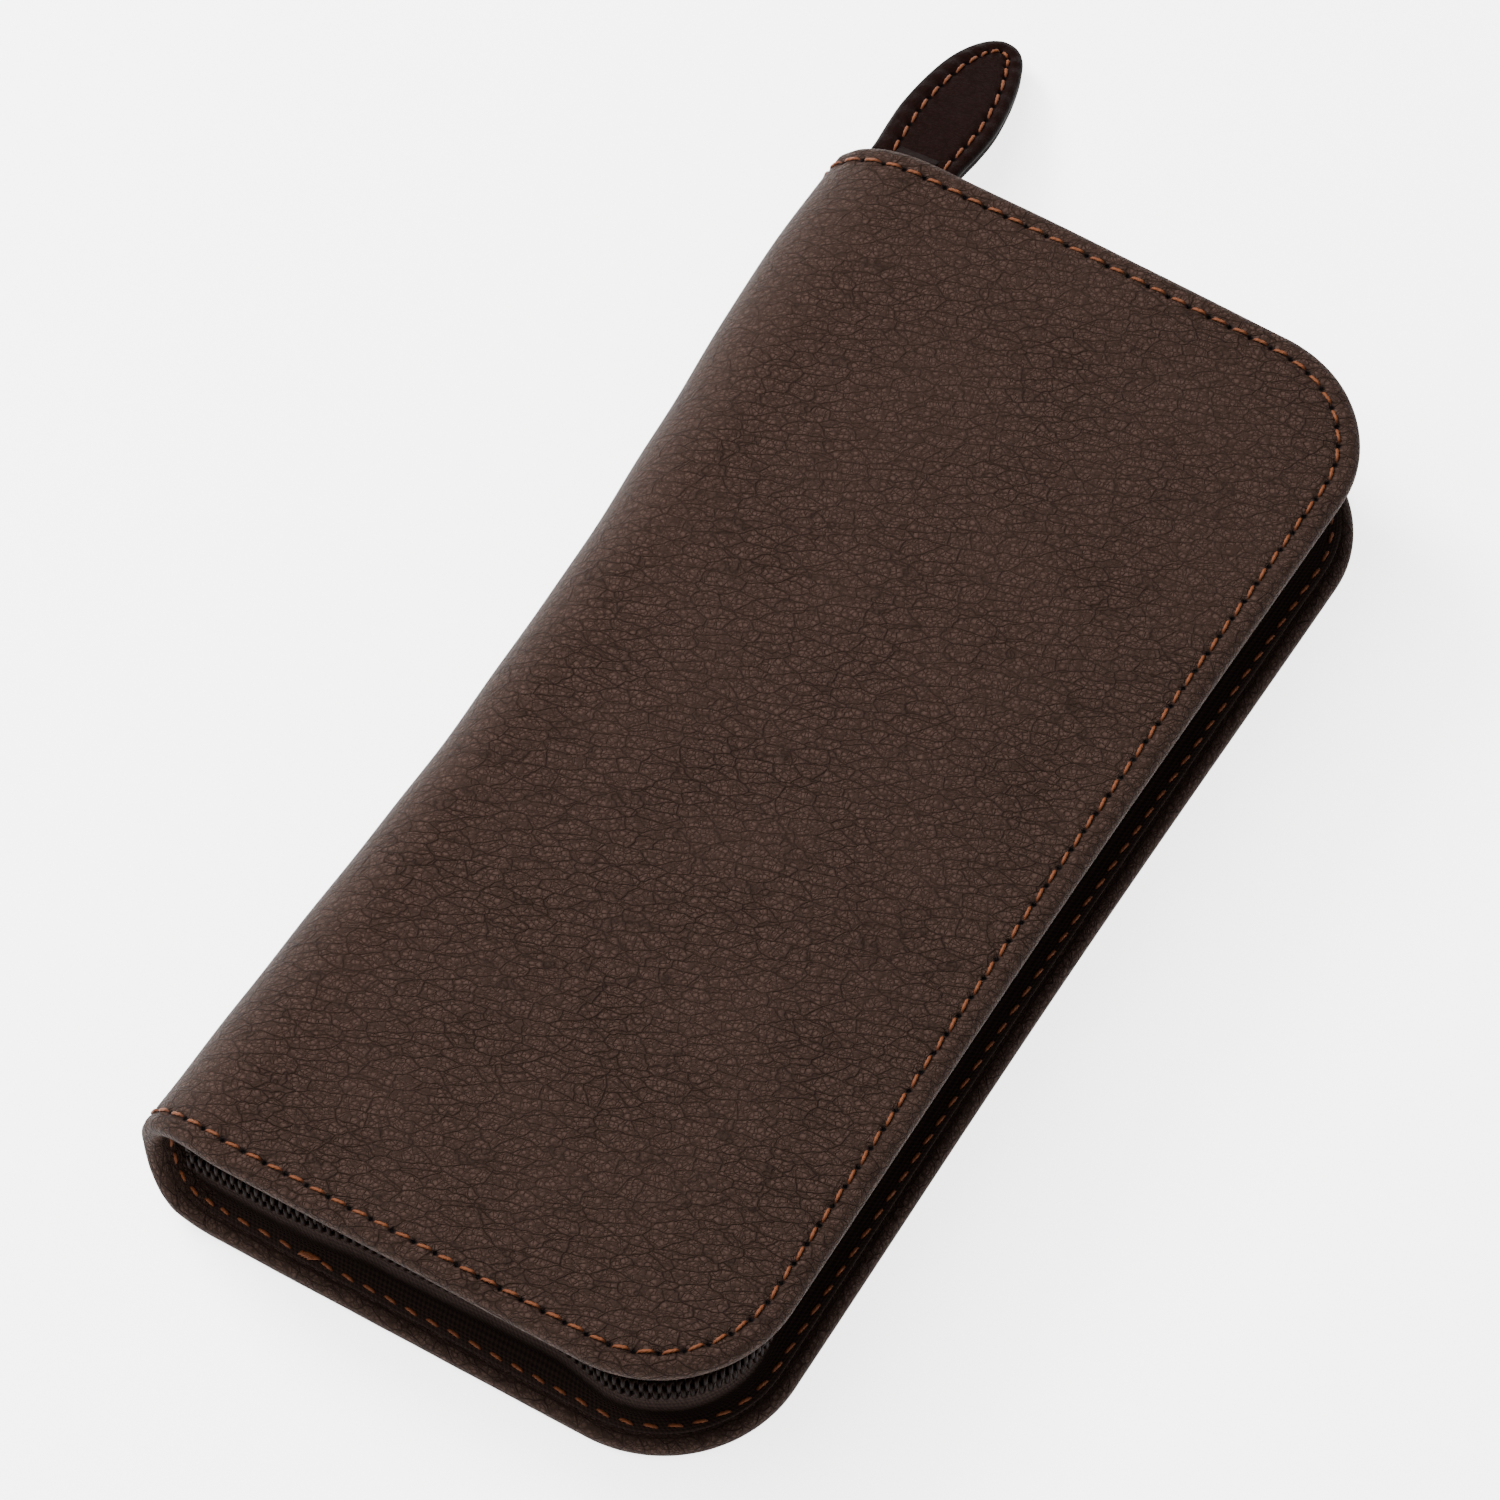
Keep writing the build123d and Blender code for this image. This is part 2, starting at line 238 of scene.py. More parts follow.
# ---- the cover as a flat hide -------------------------------------------
def edge_point(t, inset):
    """Hide place at t along the stitch line, that far in from the edge."""
    t, inset = np.broadcast_arrays(np.asarray(t, float), np.asarray(inset, float))
    sign = np.where(t < whole_run / 2, -1.0, 1.0)
    s = np.minimum(t, whole_run - t)
    turn = np.clip((s - side_run) / (corner_radius - stitch_inset), 0, math.pi / 2)
    reach = corner_radius - inset
    u = np.minimum(s - quarter, edge_u - corner_radius) + reach * np.sin(turn)
    v = half_length - corner_radius + reach * np.cos(turn) - np.maximum(s - side_run - corner_run, 0)
    return u, sign * v


def settle(u, v, side=1):
    """Move a hide place as the worn wallet has it: a slight waist, and ends that draw in at the fold."""
    at_middle = np.cos(np.pi / 2 * np.clip(v / half_length, -1, 1)) ** 2
    waist = waist_depth * at_middle * smooth(u, 30, edge_u)
    near_end = np.clip((np.abs(v) - draw_from_v) / (half_length - draw_from_v), 0, 1) ** 1.5
    setback = np.where(v < 0, *end_setbacks) * smooth(-u, -3 if side > 0 else 7, quarter) * near_end
    drawn_corner = corner_draw * smooth(u, 15, edge_u) * smooth(v, draw_from_v, half_length)
    return u - waist, v - np.sign(v) * setback - drawn_corner


# how far the fold bulges or draws in, at places along its length
swell_places = [(-98, 1.1), (-77, 0.9), (-55, -0.4), (-35, -1.1), (-10, -1.2), (5, -1.0), (22, -0.3),
                (41, 0.8), (55, 1.8), (66, 2.9), (80, 3.7), (98, 3.1)]
spine_swell = np.polynomial.Polynomial.fit(*zip(*swell_places), 5)
sag_waves = {side: random_waves(7, 0.05, 16, 46) for side in SIDES}
pinch_share = {side: rng.uniform(0.6, 1.15, stitch_count + 1) for side in SIDES}


def wrap(u, v, h, side):
    """Row-frame point of a hide place at height h."""
    u, v, h = np.broadcast_arrays(*(np.asarray(a, float) for a in (u, v, h)))
    angle = np.clip(-u, 0, None) / middle
    radius = middle - rim + h + spine_swell(np.clip(v, -half_length, half_length)) * np.sin(angle) ** 2
    x = fold_x + np.maximum(u, 0) - radius * np.sin(angle)
    z = middle + side * radius * np.cos(angle)
    return np.stack([x, v, z], axis=-1)


def surface(t, inset, h, side):
    """Row-frame point on or near a cover's edge, without the puckers."""
    u, v = settle(*edge_point(t, inset), side)
    return wrap(u, v, h, side)


def pucker(t, inset, side):
    """How far stitching pulls the leather down, and how near a needle hole each point is."""
    phase = t / pitch
    nearest = np.clip(np.round(phase).astype(int), 0, stitch_count)
    share = pinch_share[side][nearest]
    across = inset - stitch_inset
    hole = bell(np.abs(phase - nearest) * pitch, 0.7) * bell(across, 0.55)
    groove = bell(across, 0.8)
    between = 0.5 - 0.5 * np.cos(2 * np.pi * phase)
    bulge = 0.13 * between * share * bell(across + 1.6, 0.9)
    folds = 0.09 * (between - 0.5) * share * np.exp(-np.abs(across - 0.8) / 2.2)
    return 0.16 * groove + 0.42 * hole * share - bulge - folds, hole


def rim_rings():
    """Inset and height of each ring, from the panel over the edge to the hem and back inside."""
    panel_insets = (21, 18.5, 16, 13.5, 11.5, 9.8, 8.4, 7.3, 6.4, 5.6, 5.0, 4.5, 4.1, 3.8, 3.5,
                    stitch_inset, 2.95, 2.7, 2.4, 2.1)
    panel = [(d, rim) for d in panel_insets]
    edge, steps = [], 18
    for step in range(1, steps):
        a = math.pi / 2 - math.pi * step / steps
        in_ = abs(math.cos(a)) ** (2 / roundness)
        up = math.copysign(abs(math.sin(a)) ** (2 / roundness), math.sin(a))
        edge.append((rim_roll * (1 - in_), rim / 2 * (1 + up)))
    hem = [(d, 0.0) for d in (2.0, 2.6, 3.2, 4.2, 6.0, hem_width)]
    slack = leather + 0.3
    inside = [(hem_width, leather), (5.0, leather), (slack, leather), (leather, leather + board / 2)]
    inside += [(slack, leather + board), (6.0, leather + board), (corner_radius, leather + board)]
    return panel, edge, hem + inside


def fill_panel(t, ring, place, first):
    """Faces and new points for the panel inside a ring that lies a corner radius in."""
    u, v = edge_point(t, corner_radius)
    ends = [k for k in range(len(t) // 2) if t[k] < side_run]
    longs = [k for k in range(len(t)) if side_run + corner_run < t[k] < whole_run - side_run - corner_run]
    us = [u[k] for k in ends] + [edge_u - corner_radius]
    vs = [corner_radius - half_length] + [v[k] for k in longs] + [half_length - corner_radius]
    grid = np.full((len(us), len(vs)), -1)
    grid[: len(ends), 0] = [ring[k] for k in ends]
    grid[: len(ends), -1] = [ring[len(t) - 1 - k] for k in ends]
    grid[-1, 0], grid[-1, -1] = ring[len(ends)], ring[len(t) - 1 - len(ends)]
    grid[-1, 1:-1] = [ring[k] for k in longs]
    inner = [(i, j) for i in range(len(us) - 1) for j in range(1, len(vs) - 1)]
    for number, (i, j) in enumerate(inner):
        grid[i, j] = first + number
    faces = [(grid[i, j], grid[i, j + 1], grid[i + 1, j + 1], grid[i + 1, j])
             for i in range(len(us) - 1) for j in range(len(vs) - 1)]
    return place(np.array([(us[i], vs[j]) for i, j in inner])), faces


def cover_hide(side, material):
    """Outer leather of one cover and its half of the spine fold, turned in over the board."""
    t = np.linspace(0, whole_run, stitch_count * columns_per_stitch + 1)
    panel, edge, under = rim_rings()
    outer = len(panel) + len(edge)
    rings = panel + edge + under
    coarse_from = len(rings) - 3          # from here on a ring has half as many columns
    points, hide, hole_shade, faces, index = [], [], [], [], []
    count = 0

    def lay(u, v, h, extra, is_outer):
        """Place hide points, with the crown and ripple of the panel."""
        arch = np.clip(1 - (v / half_length) ** 2, 0, 1)
        rise = crown * arch * smooth(u, -8, 25) * smooth(edge_u - u, 3, 30)
        uneven = ripple(u - side * 3, v, sag_waves[side]) * smooth(edge_u - u, 1, 10)
        lift = rise + uneven if side > 0 else -np.abs(uneven)
        height = h + (lift if is_outer else np.minimum(lift, 0)) - extra
        return wrap(*settle(u, v, side), height, side)

    for number, (inset, h) in enumerate(rings):
        columns = t if number < coarse_from else t[::2]
        u, v = edge_point(columns, inset)
        drop = hole = np.zeros(len(columns))
        if number < outer:
            weight = 1 - smooth(number, len(panel) + 6, len(panel) + 11)
            drop, hole = (value * weight for value in pucker(columns, np.full(len(columns), inset), side))
        placed = lay(u, v, h, drop, number < outer)
        keep = np.arange(len(columns))
        if inset >= corner_radius:        # the ring has no length round its corners
            in_corner = (u > edge_u - corner_radius - 1e-6) & (np.abs(v) > half_length - corner_radius - 1e-6)
            for sign in (-1, 1):
                these = np.where(in_corner & (np.sign(v) == sign))[0]
                keep[these] = these[0]
        ids = np.full(len(columns), -1)
        for k in range(len(columns)):
            if keep[k] == k:
                ids[k] = count
                count += 1
                points.append(placed[k])
                depth = rim - h if number < outer else rim + inset
                hide.append((side * (u[k] + quarter), v[k], depth))
                hole_shade.append(hole[k])
        ids = ids[keep]
        index.append(ids)
        if number:
            last = index[-2]
            step = (len(last) - 1) // (len(ids) - 1)
            for k in range(len(ids) - 1):
                corners = [last[step * k + j] for j in range(step + 1)] + [ids[k + 1], ids[k]]
                faces.append(tuple(dict.fromkeys(corners)))

    for ring, columns, h, is_outer in ((index[0], t, rim, True), (index[-1], t[::2], leather + board, False)):
        def place(uv, h=h, is_outer=is_outer):
            hide.extend((side * (a + quarter), b, rim - h) for a, b in uv)
            hole_shade.extend([0.0] * len(uv))
            return lay(uv[:, 0], uv[:, 1], h, 0, is_outer)

        new, new_faces = fill_panel(columns, ring, place, count)
        points.extend(new)
        count += len(new)
        faces.extend(new_faces if is_outer else [f[::-1] for f in new_faces])

    faces = [f if side > 0 else f[::-1] for f in faces if len(f) > 2]
    obj = make_object(f"outer_hide_{SIDES[side]}", points, faces, material)
    point_values(obj, "hide", hide)
    point_values(obj, "hole_shade", hole_shade)
    level_seam_normals(obj)
    return obj


def level_seam_normals(obj):
    """Where two halves meet at mid-height of the spine, both get one level normal, so no seam shows."""
    mesh = obj.data
    normals = np.array([n.vector for n in mesh.vertex_normals])
    heights = np.array([v.co.z for v in mesh.vertices])
    normals[np.abs(heights - middle * MM) < 1e-6, 2] = 0
    mesh.normals_split_custom_set_from_vertices(unit(normals).tolist())


# ---- thread -------------------------------------------------------------
def thread_piece(name, starts, ends, normals, material, radius=0.25, dip=0.42, lift=0.13):
    """Twisted stitches, each from one needle hole to the next, as one piece."""
    steps, around, strands, strand_depth, turns, flatness = 12, 12, 3, 0.17, 1.6, 0.82
    s = np.linspace(0, 1, steps)
    profile = -dip + (dip + lift) * (1 - np.abs(2 * s - 1) ** 5)
    taper = 0.5 + 0.5 * (1 - np.abs(2 * s - 1) ** 3)
    centre = starts[:, None] + (ends - starts)[:, None] * s[None, :, None]
    centre = centre + normals[:, None] * profile[None, :, None]
    across = unit(np.cross(unit(ends - starts), normals))
    a = np.linspace(0, 2 * np.pi, around, endpoint=False)
    lobes = 1 + strand_depth * np.cos(strands * (a[None] - 2 * np.pi * turns * s[:, None] / strands * 2))
    size = radius * lobes * taper[:, None]
    ring = across[:, None, None] * (size * np.cos(a)[None])[None, :, :, None]
    ring = ring + normals[:, None, None] * (flatness * size * np.sin(a)[None])[None, :, :, None]
    points = (centre[:, :, None] + ring).reshape(-1, 3)
    faces = []
    for first in range(0, len(points), steps * around):
        faces += grid_faces(steps, around, first, close_columns=True)
        faces += end_caps(around, steps * around, first)
    obj = make_object(name, points, faces, material)
    point_values(obj, "twist", np.tile(np.repeat(s, around), len(starts)))
    return obj


def stitch_line(side, outward, gap=0.5, slant=0.16):
    """End points and normals of a row of stitches round a cover: outward is 1 on the face, -1 on the tape."""
    t0 = np.arange(stitch_count) * pitch + gap
    t1 = (np.arange(stitch_count) + 1) * pitch - gap
    mid = (t0 + t1) / 2
    jitter = rng.uniform(-0.06, 0.06, (2, stitch_count))
    lean = slant * outward
    if outward > 0:
        h = np.full(stitch_count, rim - 0.05)
    else:
        u, _ = edge_point(mid, stitch_inset)
        h = -tape_thickness * smooth(u, zip_end_u - 1, zip_end_u + 1) - 0.02
    starts = surface(t0, stitch_inset - lean + jitter[0], h, side)
    ends = surface(t1, stitch_inset + lean + jitter[1], h, side)
    normals = surface(mid, stitch_inset, h + 0.5, side) - surface(mid, stitch_inset, h - 0.5, side)
    return starts, ends, normals * outward


def cover_stitching(side, material):
    """Needle thread on the face and bobbin thread on the zip tape, with the bar tack over the join."""
    rows = [stitch_line(side, 1), stitch_line(side, -1)]
    if side < 0:
        t = side_run - bar_tack_run + np.array([0.0, 0.5, 1.0, 1.5])
        h = np.full(4, -tape_thickness - 0.25)
        rows.append((surface(t, stitch_inset - 0.5, h, side), surface(t + 1.9, stitch_inset + 0.5, h, side),
                     np.repeat([[0, 0, 1.0]], 4, axis=0)))
    parts = (np.concatenate(part) for part in zip(*rows))
    return thread_piece(f"topstitching_{SIDES[side]}", *parts, material)


# ---- the zip ------------------------------------------------------------
# how far in the chain's outer face lies: pressed in along the sides, and showing at the near corner
chain_places = [(0, 3.3), (26, 3.4), (44, 4.9), (70, 5.4), (84, 3.5), (104, 3.5), (122, 5.3), (236, 5.4),
                (256, 4.5), (278, 3.3), (whole_run, 3.3)]


def zip_point(t, inset, z):
    """Row-frame point of the zip at t along the stitch line, which doesn't follow the spine fold."""
    u, v = edge_point(t, inset)
    waist_u, _ = settle(u, v)
    x = fold_x + np.where(u > 0, waist_u, u)
    return np.stack(np.broadcast_arrays(x, v, z), axis=-1)


def zip_tape(side, material):
    """One tape: flat under the stitches, folded, and standing up to the chain."""
    t = np.linspace(zip_start, zip_stop, 420)
    wall = ease(t, chain_places) + 1.45   # how far in the tape stands, behind its coil
    fold = np.maximum(wall + 0.3, 5.6)    # how far in the flat part turns up
    half = tape_thickness / 2
    flat = rim + half
    sway = ripple(t, 0 * t, random_waves(5, 0.07, 9, 30))
    # inset and height, from the outer edge over the stitches to the chain
    line = [(2.25, flat), (3.2, flat - 0.06), (4.4, flat), (fold - 0.5, flat + 0.02), (fold, flat + 0.3),
            (fold + 0.05 + sway, flat + 1.1), ((fold + wall) / 2 + 0.5 + sway, flat + 3.2),
            (wall + 0.4 + sway, flat + 5.4), (wall + 0.1, middle - 3.0), (wall, middle - 1.6),
            (wall, middle - 0.25)]
    insets, heights = (np.array([np.broadcast_to(a, t.shape) for a in values]) for values in zip(*line))
    di, dz = np.gradient(insets, axis=0), np.gradient(heights, axis=0)
    size = np.hypot(di, dz)
    loop_i = np.concatenate([insets - dz / size * half, (insets + dz / size * half)[::-1]])
    loop_z = np.concatenate([heights + di / size * half, (heights - di / size * half)[::-1]])
    place = zip_point(t[None], loop_i, loop_z)
    if side > 0:
        place[..., 2] = 2 * middle - place[..., 2]
    points = np.moveaxis(place, 0, 1).reshape(-1, 3)
    count = len(loop_i)
    faces = grid_faces(len(t), count, close_columns=True, flip=side > 0)
    faces += [face[::-1] for face in end_caps(count, len(points))]
    obj = make_object(f"zip_tape_{SIDES[side]}", points, faces, material)
    profile = np.concatenate([np.arange(len(line)), np.arange(len(line))[::-1]]) * 1.3
    weave = [np.repeat(t, count), np.tile(profile, len(t)), np.zeros(len(points))]
    point_values(obj, "hide", np.stack(weave, axis=-1))
    return obj


def zip_coil(side, material):
    """One nylon coil: a flattened helix whose heads mesh with the other coil's."""
    spacing, per_loop, around, wire, squareness = 1.32, 14, 7, 0.37, 0.8
    loops = int((zip_stop - zip_start) / spacing)
    s = np.arange(loops * per_loop + 1) / per_loop
    t = zip_start + 0.8 + s * (zip_stop - zip_start - 1.6) / loops
    turn = 2 * np.pi * (s + (0.5 if side > 0 else 0))
    lobe_z, lobe_n = (np.sign(wave) * np.abs(wave) ** squareness for wave in (np.cos(turn), np.sin(turn)))
    z = middle + side * 0.98 - side * 1.2 * lobe_z
    inset = ease(t, chain_places) + 0.72 - 0.42 * lobe_n
    lean = 0.12 * np.sin(2 * turn)
    return tube_piece(f"zip_coil_{SIDES[side]}", zip_point(t + lean, inset, z), wire, around, material)


# ---- flat pieces with a closed outline ----------------------------------
MIDDLE = 999.0                            # an inset that reaches the core line


def even_loop(points, count):
    """A closed outline resampled to evenly spaced points."""
    closed = np.vstack([points, points[:1]])
    run = run_along(closed)
    at = np.linspace(0, run[-1], count, endpoint=False)
    return np.stack([np.interp(at, run, closed[:, k]) for k in (0, 1)], axis=-1)


def smooth_loop(points, per_span=12):
    """A smooth closed curve through a few points."""
    points = np.asarray(points, float)
    made = []
    for k in range(len(points)):
        p0, p1, p2, p3 = (points[(k + o) % len(points)] for o in (-1, 0, 1, 2))
        for f in np.linspace(0, 1, per_span, endpoint=False):
            made.append(0.5 * (2 * p1 + (p2 - p0) * f + (2 * p0 - 5 * p1 + 4 * p2 - p3) * f**2
                               + (3 * p1 - p0 - 3 * p2 + p3) * f**3))
    return np.array(made)


def inset_share(outline, core, inset):
    """How much of the way from an outline to its core line an inset goes."""
    reach = np.maximum(np.linalg.norm(core - outline, axis=1), 1e-4)
    return np.clip(inset / reach, 0, 1)


def ring_at(outline, core, share, height):
    """A ring of points part of the way from an outline to its core line."""
    flat = outline + (core - outline) * share[:, None]
    return np.column_stack([flat, np.broadcast_to(height, len(outline))])


# ---- the pull tab: across, along and up from the link's bar --------------
tab_joint = next(j for j in frame["joints"] if j["name"] == "tab_flap")
tab_bar = np.array(tab_joint["pos_m"]) / MM
tab_lean = math.atan2(tab_joint["axis"][1], tab_joint["axis"][0])
tab_droop = math.radians(16)
tab_ply = 1.2
tab_inset = 2.7                           # from the edge to the stitches
tab_right = [(6.0, 0.9), (6.8, 1.2), (7.0, 4.2), (7.4, 9), (7.45, 14.5), (6.65, 21), (5.45, 26.6),
             (4.2, 30.6), (3.0, 33.0), (1.5, 34.5)]
tab_left = [(-1.4, 34.9), (-3.2, 33.6), (-5.0, 30.8), (-6.4, 26.6), (-7.25, 21), (-7.65, 14.5), (-7.4, 9),
            (-7.0, 4.2), (-6.8, 1.2), (-6.0, 0.9)]
tab_core = (0.5, 28.5)
tab_stitches = 24
tab_per_stitch = 7
tab_columns = tab_stitches * tab_per_stitch


def place_tab(points):
    """From the tab's own axes, across, along and up, to the row frame."""
    a, b, c = points[:, 0], points[:, 1], points[:, 2]
    y = b * math.cos(tab_droop) + c * math.sin(tab_droop)
    z = c * math.cos(tab_droop) - b * math.sin(tab_droop)
    x = a * math.cos(tab_lean) - y * math.sin(tab_lean)
    y = a * math.sin(tab_lean) + y * math.cos(tab_lean)
    return np.column_stack([x, y, z]) + tab_bar


def tab_loop():
    """The tab's outline and core line, starting at the middle of its base."""
    outline = even_loop(smooth_loop([(0, 0.9)] + tab_right + [(0, 35.0)] + tab_left), tab_columns)
    core = np.column_stack([np.zeros(tab_columns), np.clip(outline[:, 1], *tab_core)])
    return outline, core


def tab_bow(along):
    """How far the tab bows up, along its length."""
    return 0.35 * np.sin(np.pi * np.clip(along / 36, 0, 1))


def tab_share(outline, core, inset):
    """As inset_share, with the stitch line a little further in on the left than on the right."""
    return inset_share(outline, core, inset * (1 + 0.13 * np.clip(-outline[:, 0] / 7, -1, 1)))


def pull_tab(material):
    """The strap's two plies, sewn together, with a slightly larger lower ply."""
    outline, core = tab_loop()
    phase = np.arange(tab_columns) / tab_per_stitch
    away = np.abs(phase - np.round(phase))
    hole = bell(away * pitch, 0.6) * (outline[:, 1] > 1.6)
    between = 0.5 - 0.5 * np.cos(2 * np.pi * phase)
    face = []
    for inset in (MIDDLE, 6.4, 5.5, 4.8, 4.2, 3.7, 3.3, 3.0, 2.7, 2.4, 2.1, 1.7, 1.25, 0.85, 0.5):
        across = inset - tab_inset
        pit = hole * bell(across, 0.55)
        swell = 0.16 * bell(across + 1.3, 0.8) * (0.5 + between)
        height = tab_ply + swell - 0.14 * bell(across, 0.7) - 0.34 * pit - 0.05 * smooth(inset, 1.2, 0.4)
        face.append((tab_share(outline, core, inset), height, smooth(1.1 - min(inset, 5), 0, 1.2), pit))
    for inset, height, edge in ((0.24, 1.06, 0.8), (0.08, 0.88, 1.0), (0.0, 0.62, 1.0), (0.02, 0.3, 1.0),
                                (0.16, 0.07, 1.0)):
        face.append((inset_share(outline, core, inset), height, edge, 0 * hole))
    proud = 0.5 * np.clip(-outline[:, 0] / 6, 0, 1) * smooth(30 - outline[:, 1], 0, 12)
    points, edges, pits = [], [], []
    for sign, rings in ((1, face), (-1, face[::-1])):
        for share, height, edge, pit in rings:
            ring = ring_at(outline, core, share, sign * height)
            if sign < 0:
                ring[:, 0] -= proud * (1 - share)
            points.append(ring)
            edges += [float(edge)] * tab_columns
            pits.append(pit)
    count = len(points)
    points = np.concatenate(points)
    hide = points + np.array([300.0, 0, 0])
    points[:, 2] += tab_bow(points[:, 1])
    faces = grid_faces(count, tab_columns, close_columns=True)
    obj = make_object("pull_tab", place_tab(points), faces, material)
    point_values(obj, "hide", hide)
    point_values(obj, "edge", edges)
    point_values(obj, "hole_shade", np.concatenate(pits))
    weld(obj)
    return obj


def tab_strap(material):
    """The strap's narrow neck, doubled round the link's bar."""
    half_width, inner = 3.3, 0.62

    def fold(radius, near, far):
        """One face of the strap, from its upper end round the bar to its lower end."""
        angles = np.linspace(math.pi / 2, math.pi * 3 / 2, 15)
        arc = [(radius * math.cos(a), radius * math.sin(a)) for a in angles]
        return [(3.6, far), (1.6, near)] + arc + [(1.6, -near), (3.6, -far)]

    inside = fold(inner, inner, inner)
    outside = fold(inner + tab_ply, inner + tab_ply * 0.8, inner + tab_ply * 0.5)
    loop = np.array(outside + inside[::-1])
    mid = (loop + np.array(inside + outside[::-1])) / 2
    sections = ((-1, 0.25, 1), (-0.96, 0.06, 1), (-0.85, 0, 0.2), (0, 0, 0), (0.85, 0, 0.2), (0.96, 0.06, 1),
                (1, 0.25, 1))
    points, edge = [], []
    for across, shrink, value in sections:
        shrunk = loop + (mid - loop) * shrink
        points.append(np.column_stack([np.full(len(loop), across * half_width), shrunk]))
        edge += [value] * len(loop)
    points = np.concatenate(points)
    faces = grid_faces(len(sections), len(loop), close_columns=True)
    for first in (0, (len(sections) - 1) * len(loop)):
        last = first + len(loop) - 1
        faces += [(first + k, first + k + 1, last - 1 - k, last - k) for k in range(len(inside) - 1)]
    obj = make_object("pull_tab_loop", place_tab(points), faces, material)
    point_values(obj, "hide", points + np.array([340.0, 0, 0]))
    point_values(obj, "edge", edge)
    weld(obj)
    return obj


def tab_thread(material):
    """Stitches on both faces of the tab."""
    outline, core = tab_loop()
    a = ring_at(outline, core, tab_share(outline, core, tab_inset), 0)[::tab_per_stitch, :2]
    b = np.roll(a, -1, axis=0)
    kept = (a[:, 1] + b[:, 1]) / 2 > 1.8  # none across the base
    a, b = a[kept], b[kept]
    step = (b - a) * hole_gap
    up = place_tab(np.array([[0, 0, 1.0]])) - place_tab(np.array([[0, 0, 0.0]]))
    rows = []
    for sign in (1, -1):
        slant = np.column_stack([-(b - a)[:, 1], (b - a)[:, 0]]) * 0.035 * sign
        ends = [place_tab(np.column_stack([flat, sign * (tab_ply - 0.06) + tab_bow(flat[:, 1])]))
                for flat in (a + step - slant, b - step + slant)]
        rows.append((*ends, np.repeat(up * sign, len(a), axis=0)))
    return thread_piece("pull_tab_thread", *(np.concatenate(p) for p in zip(*rows)), material, radius=0.24)


# ---- the inside ---------------------------------------------------------
def panel_loop(low, high, radius, spacing=1.6):
    """Outline and core line of a panel that is rounded on its open side."""
    x0, y0, x1, y1 = low[0], low[1], high[0], high[1]
    turns = np.linspace(0, math.pi / 2, 7)
    small = 0.6
    corners = ((x1 - radius, y1 - radius, radius, 0), (x0 + small, y1 - small, small, math.pi / 2),
               (x0 + small, y0 + small, small, math.pi), (x1 - radius, y0 + radius, radius, 1.5 * math.pi))
    points = [(x + r * math.cos(start + a), y + r * math.sin(start + a))
              for x, y, r, start in corners for a in turns]
    count = int((x1 - x0 + y1 - y0) * 2 / spacing)
    outline = even_loop(points, count)
    inset = (x1 - x0) / 2
    core = np.column_stack([np.full(count, (x0 + x1) / 2), np.clip(outline[:, 1], y0 + inset, y1 - inset)])
    return outline, core


def panel_piece(name, node, radius, material):
    """A pocket panel of turned leather: a rounded edge, and a pressed line beside it."""
    low, high = node_box(node)
    outline, core = panel_loop(low, high, radius)
    mid, thick = (low[2] + high[2]) / 2, (high[2] - low[2]) / 2
    # inset, share of the half thickness, edge value
    face = [(MIDDLE, 1.0, 0), (8.0, 1.0, 0), (2.7, 1.0, 0), (1.8, 1.0, 0), (1.5, 0.45, 0.5), (1.2, 1.0, 0),
            (0.45, 1.0, 0), (0.12, 0.7, 0.4), (0.0, 0.0, 0.6)]
    rings = face + [(inset, -height, edge) for inset, height, edge in face[-2::-1]]
    points = np.concatenate([ring_at(outline, core, inset_share(outline, core, inset), mid + thick * height)
                             for inset, height, _ in rings])
    obj = make_object(name, points, grid_faces(len(rings), len(outline), close_columns=True), material)
    point_values(obj, "hide", points)
    point_values(obj, "edge", np.repeat([edge for _, _, edge in rings], len(outline)))
    weld(obj)
    return obj


def lining_sheet(side, material):
    """Twill lining of one cover and its half of the spine, as one closed sheet."""
    low, high = node_box(f"{SIDES[side]}_lining")
    half_run = -node_box("spine_lining")[0][1]
    us = np.concatenate([np.linspace(-quarter, 0, 24), np.linspace(0, high[0] - fold_x, 40)[1:]])
    grid_u, grid_v = np.meshgrid(us, np.linspace(-half_run, half_run, 90), indexing="ij")
    corner = corner_radius - hem_width
    over = np.clip(grid_u - (us[-1] - corner), 0, corner)
    grid_v = grid_v / half_run * (half_run - corner + np.sqrt(np.clip(corner**2 - over**2, 0, None)))
    uneven = ripple(grid_u, grid_v, sag_waves[side]) * 0.4 * smooth(us[-1] - grid_u, 0, 8)
    sheets = [wrap(grid_u, grid_v, h, side) for h in (leather, leather - (high[2] - low[2]) + uneven)]
    return double_sheet(f"cover_lining_{SIDES[side]}", sheets, grid_u.shape, material)


def gusset_heights(node, side):
    """Where a gusset is sewn to the coin pouch, and where to its cover."""
    low, high = node_box(node)
    return (low[2], high[2]) if side > 0 else (high[2], low[2])


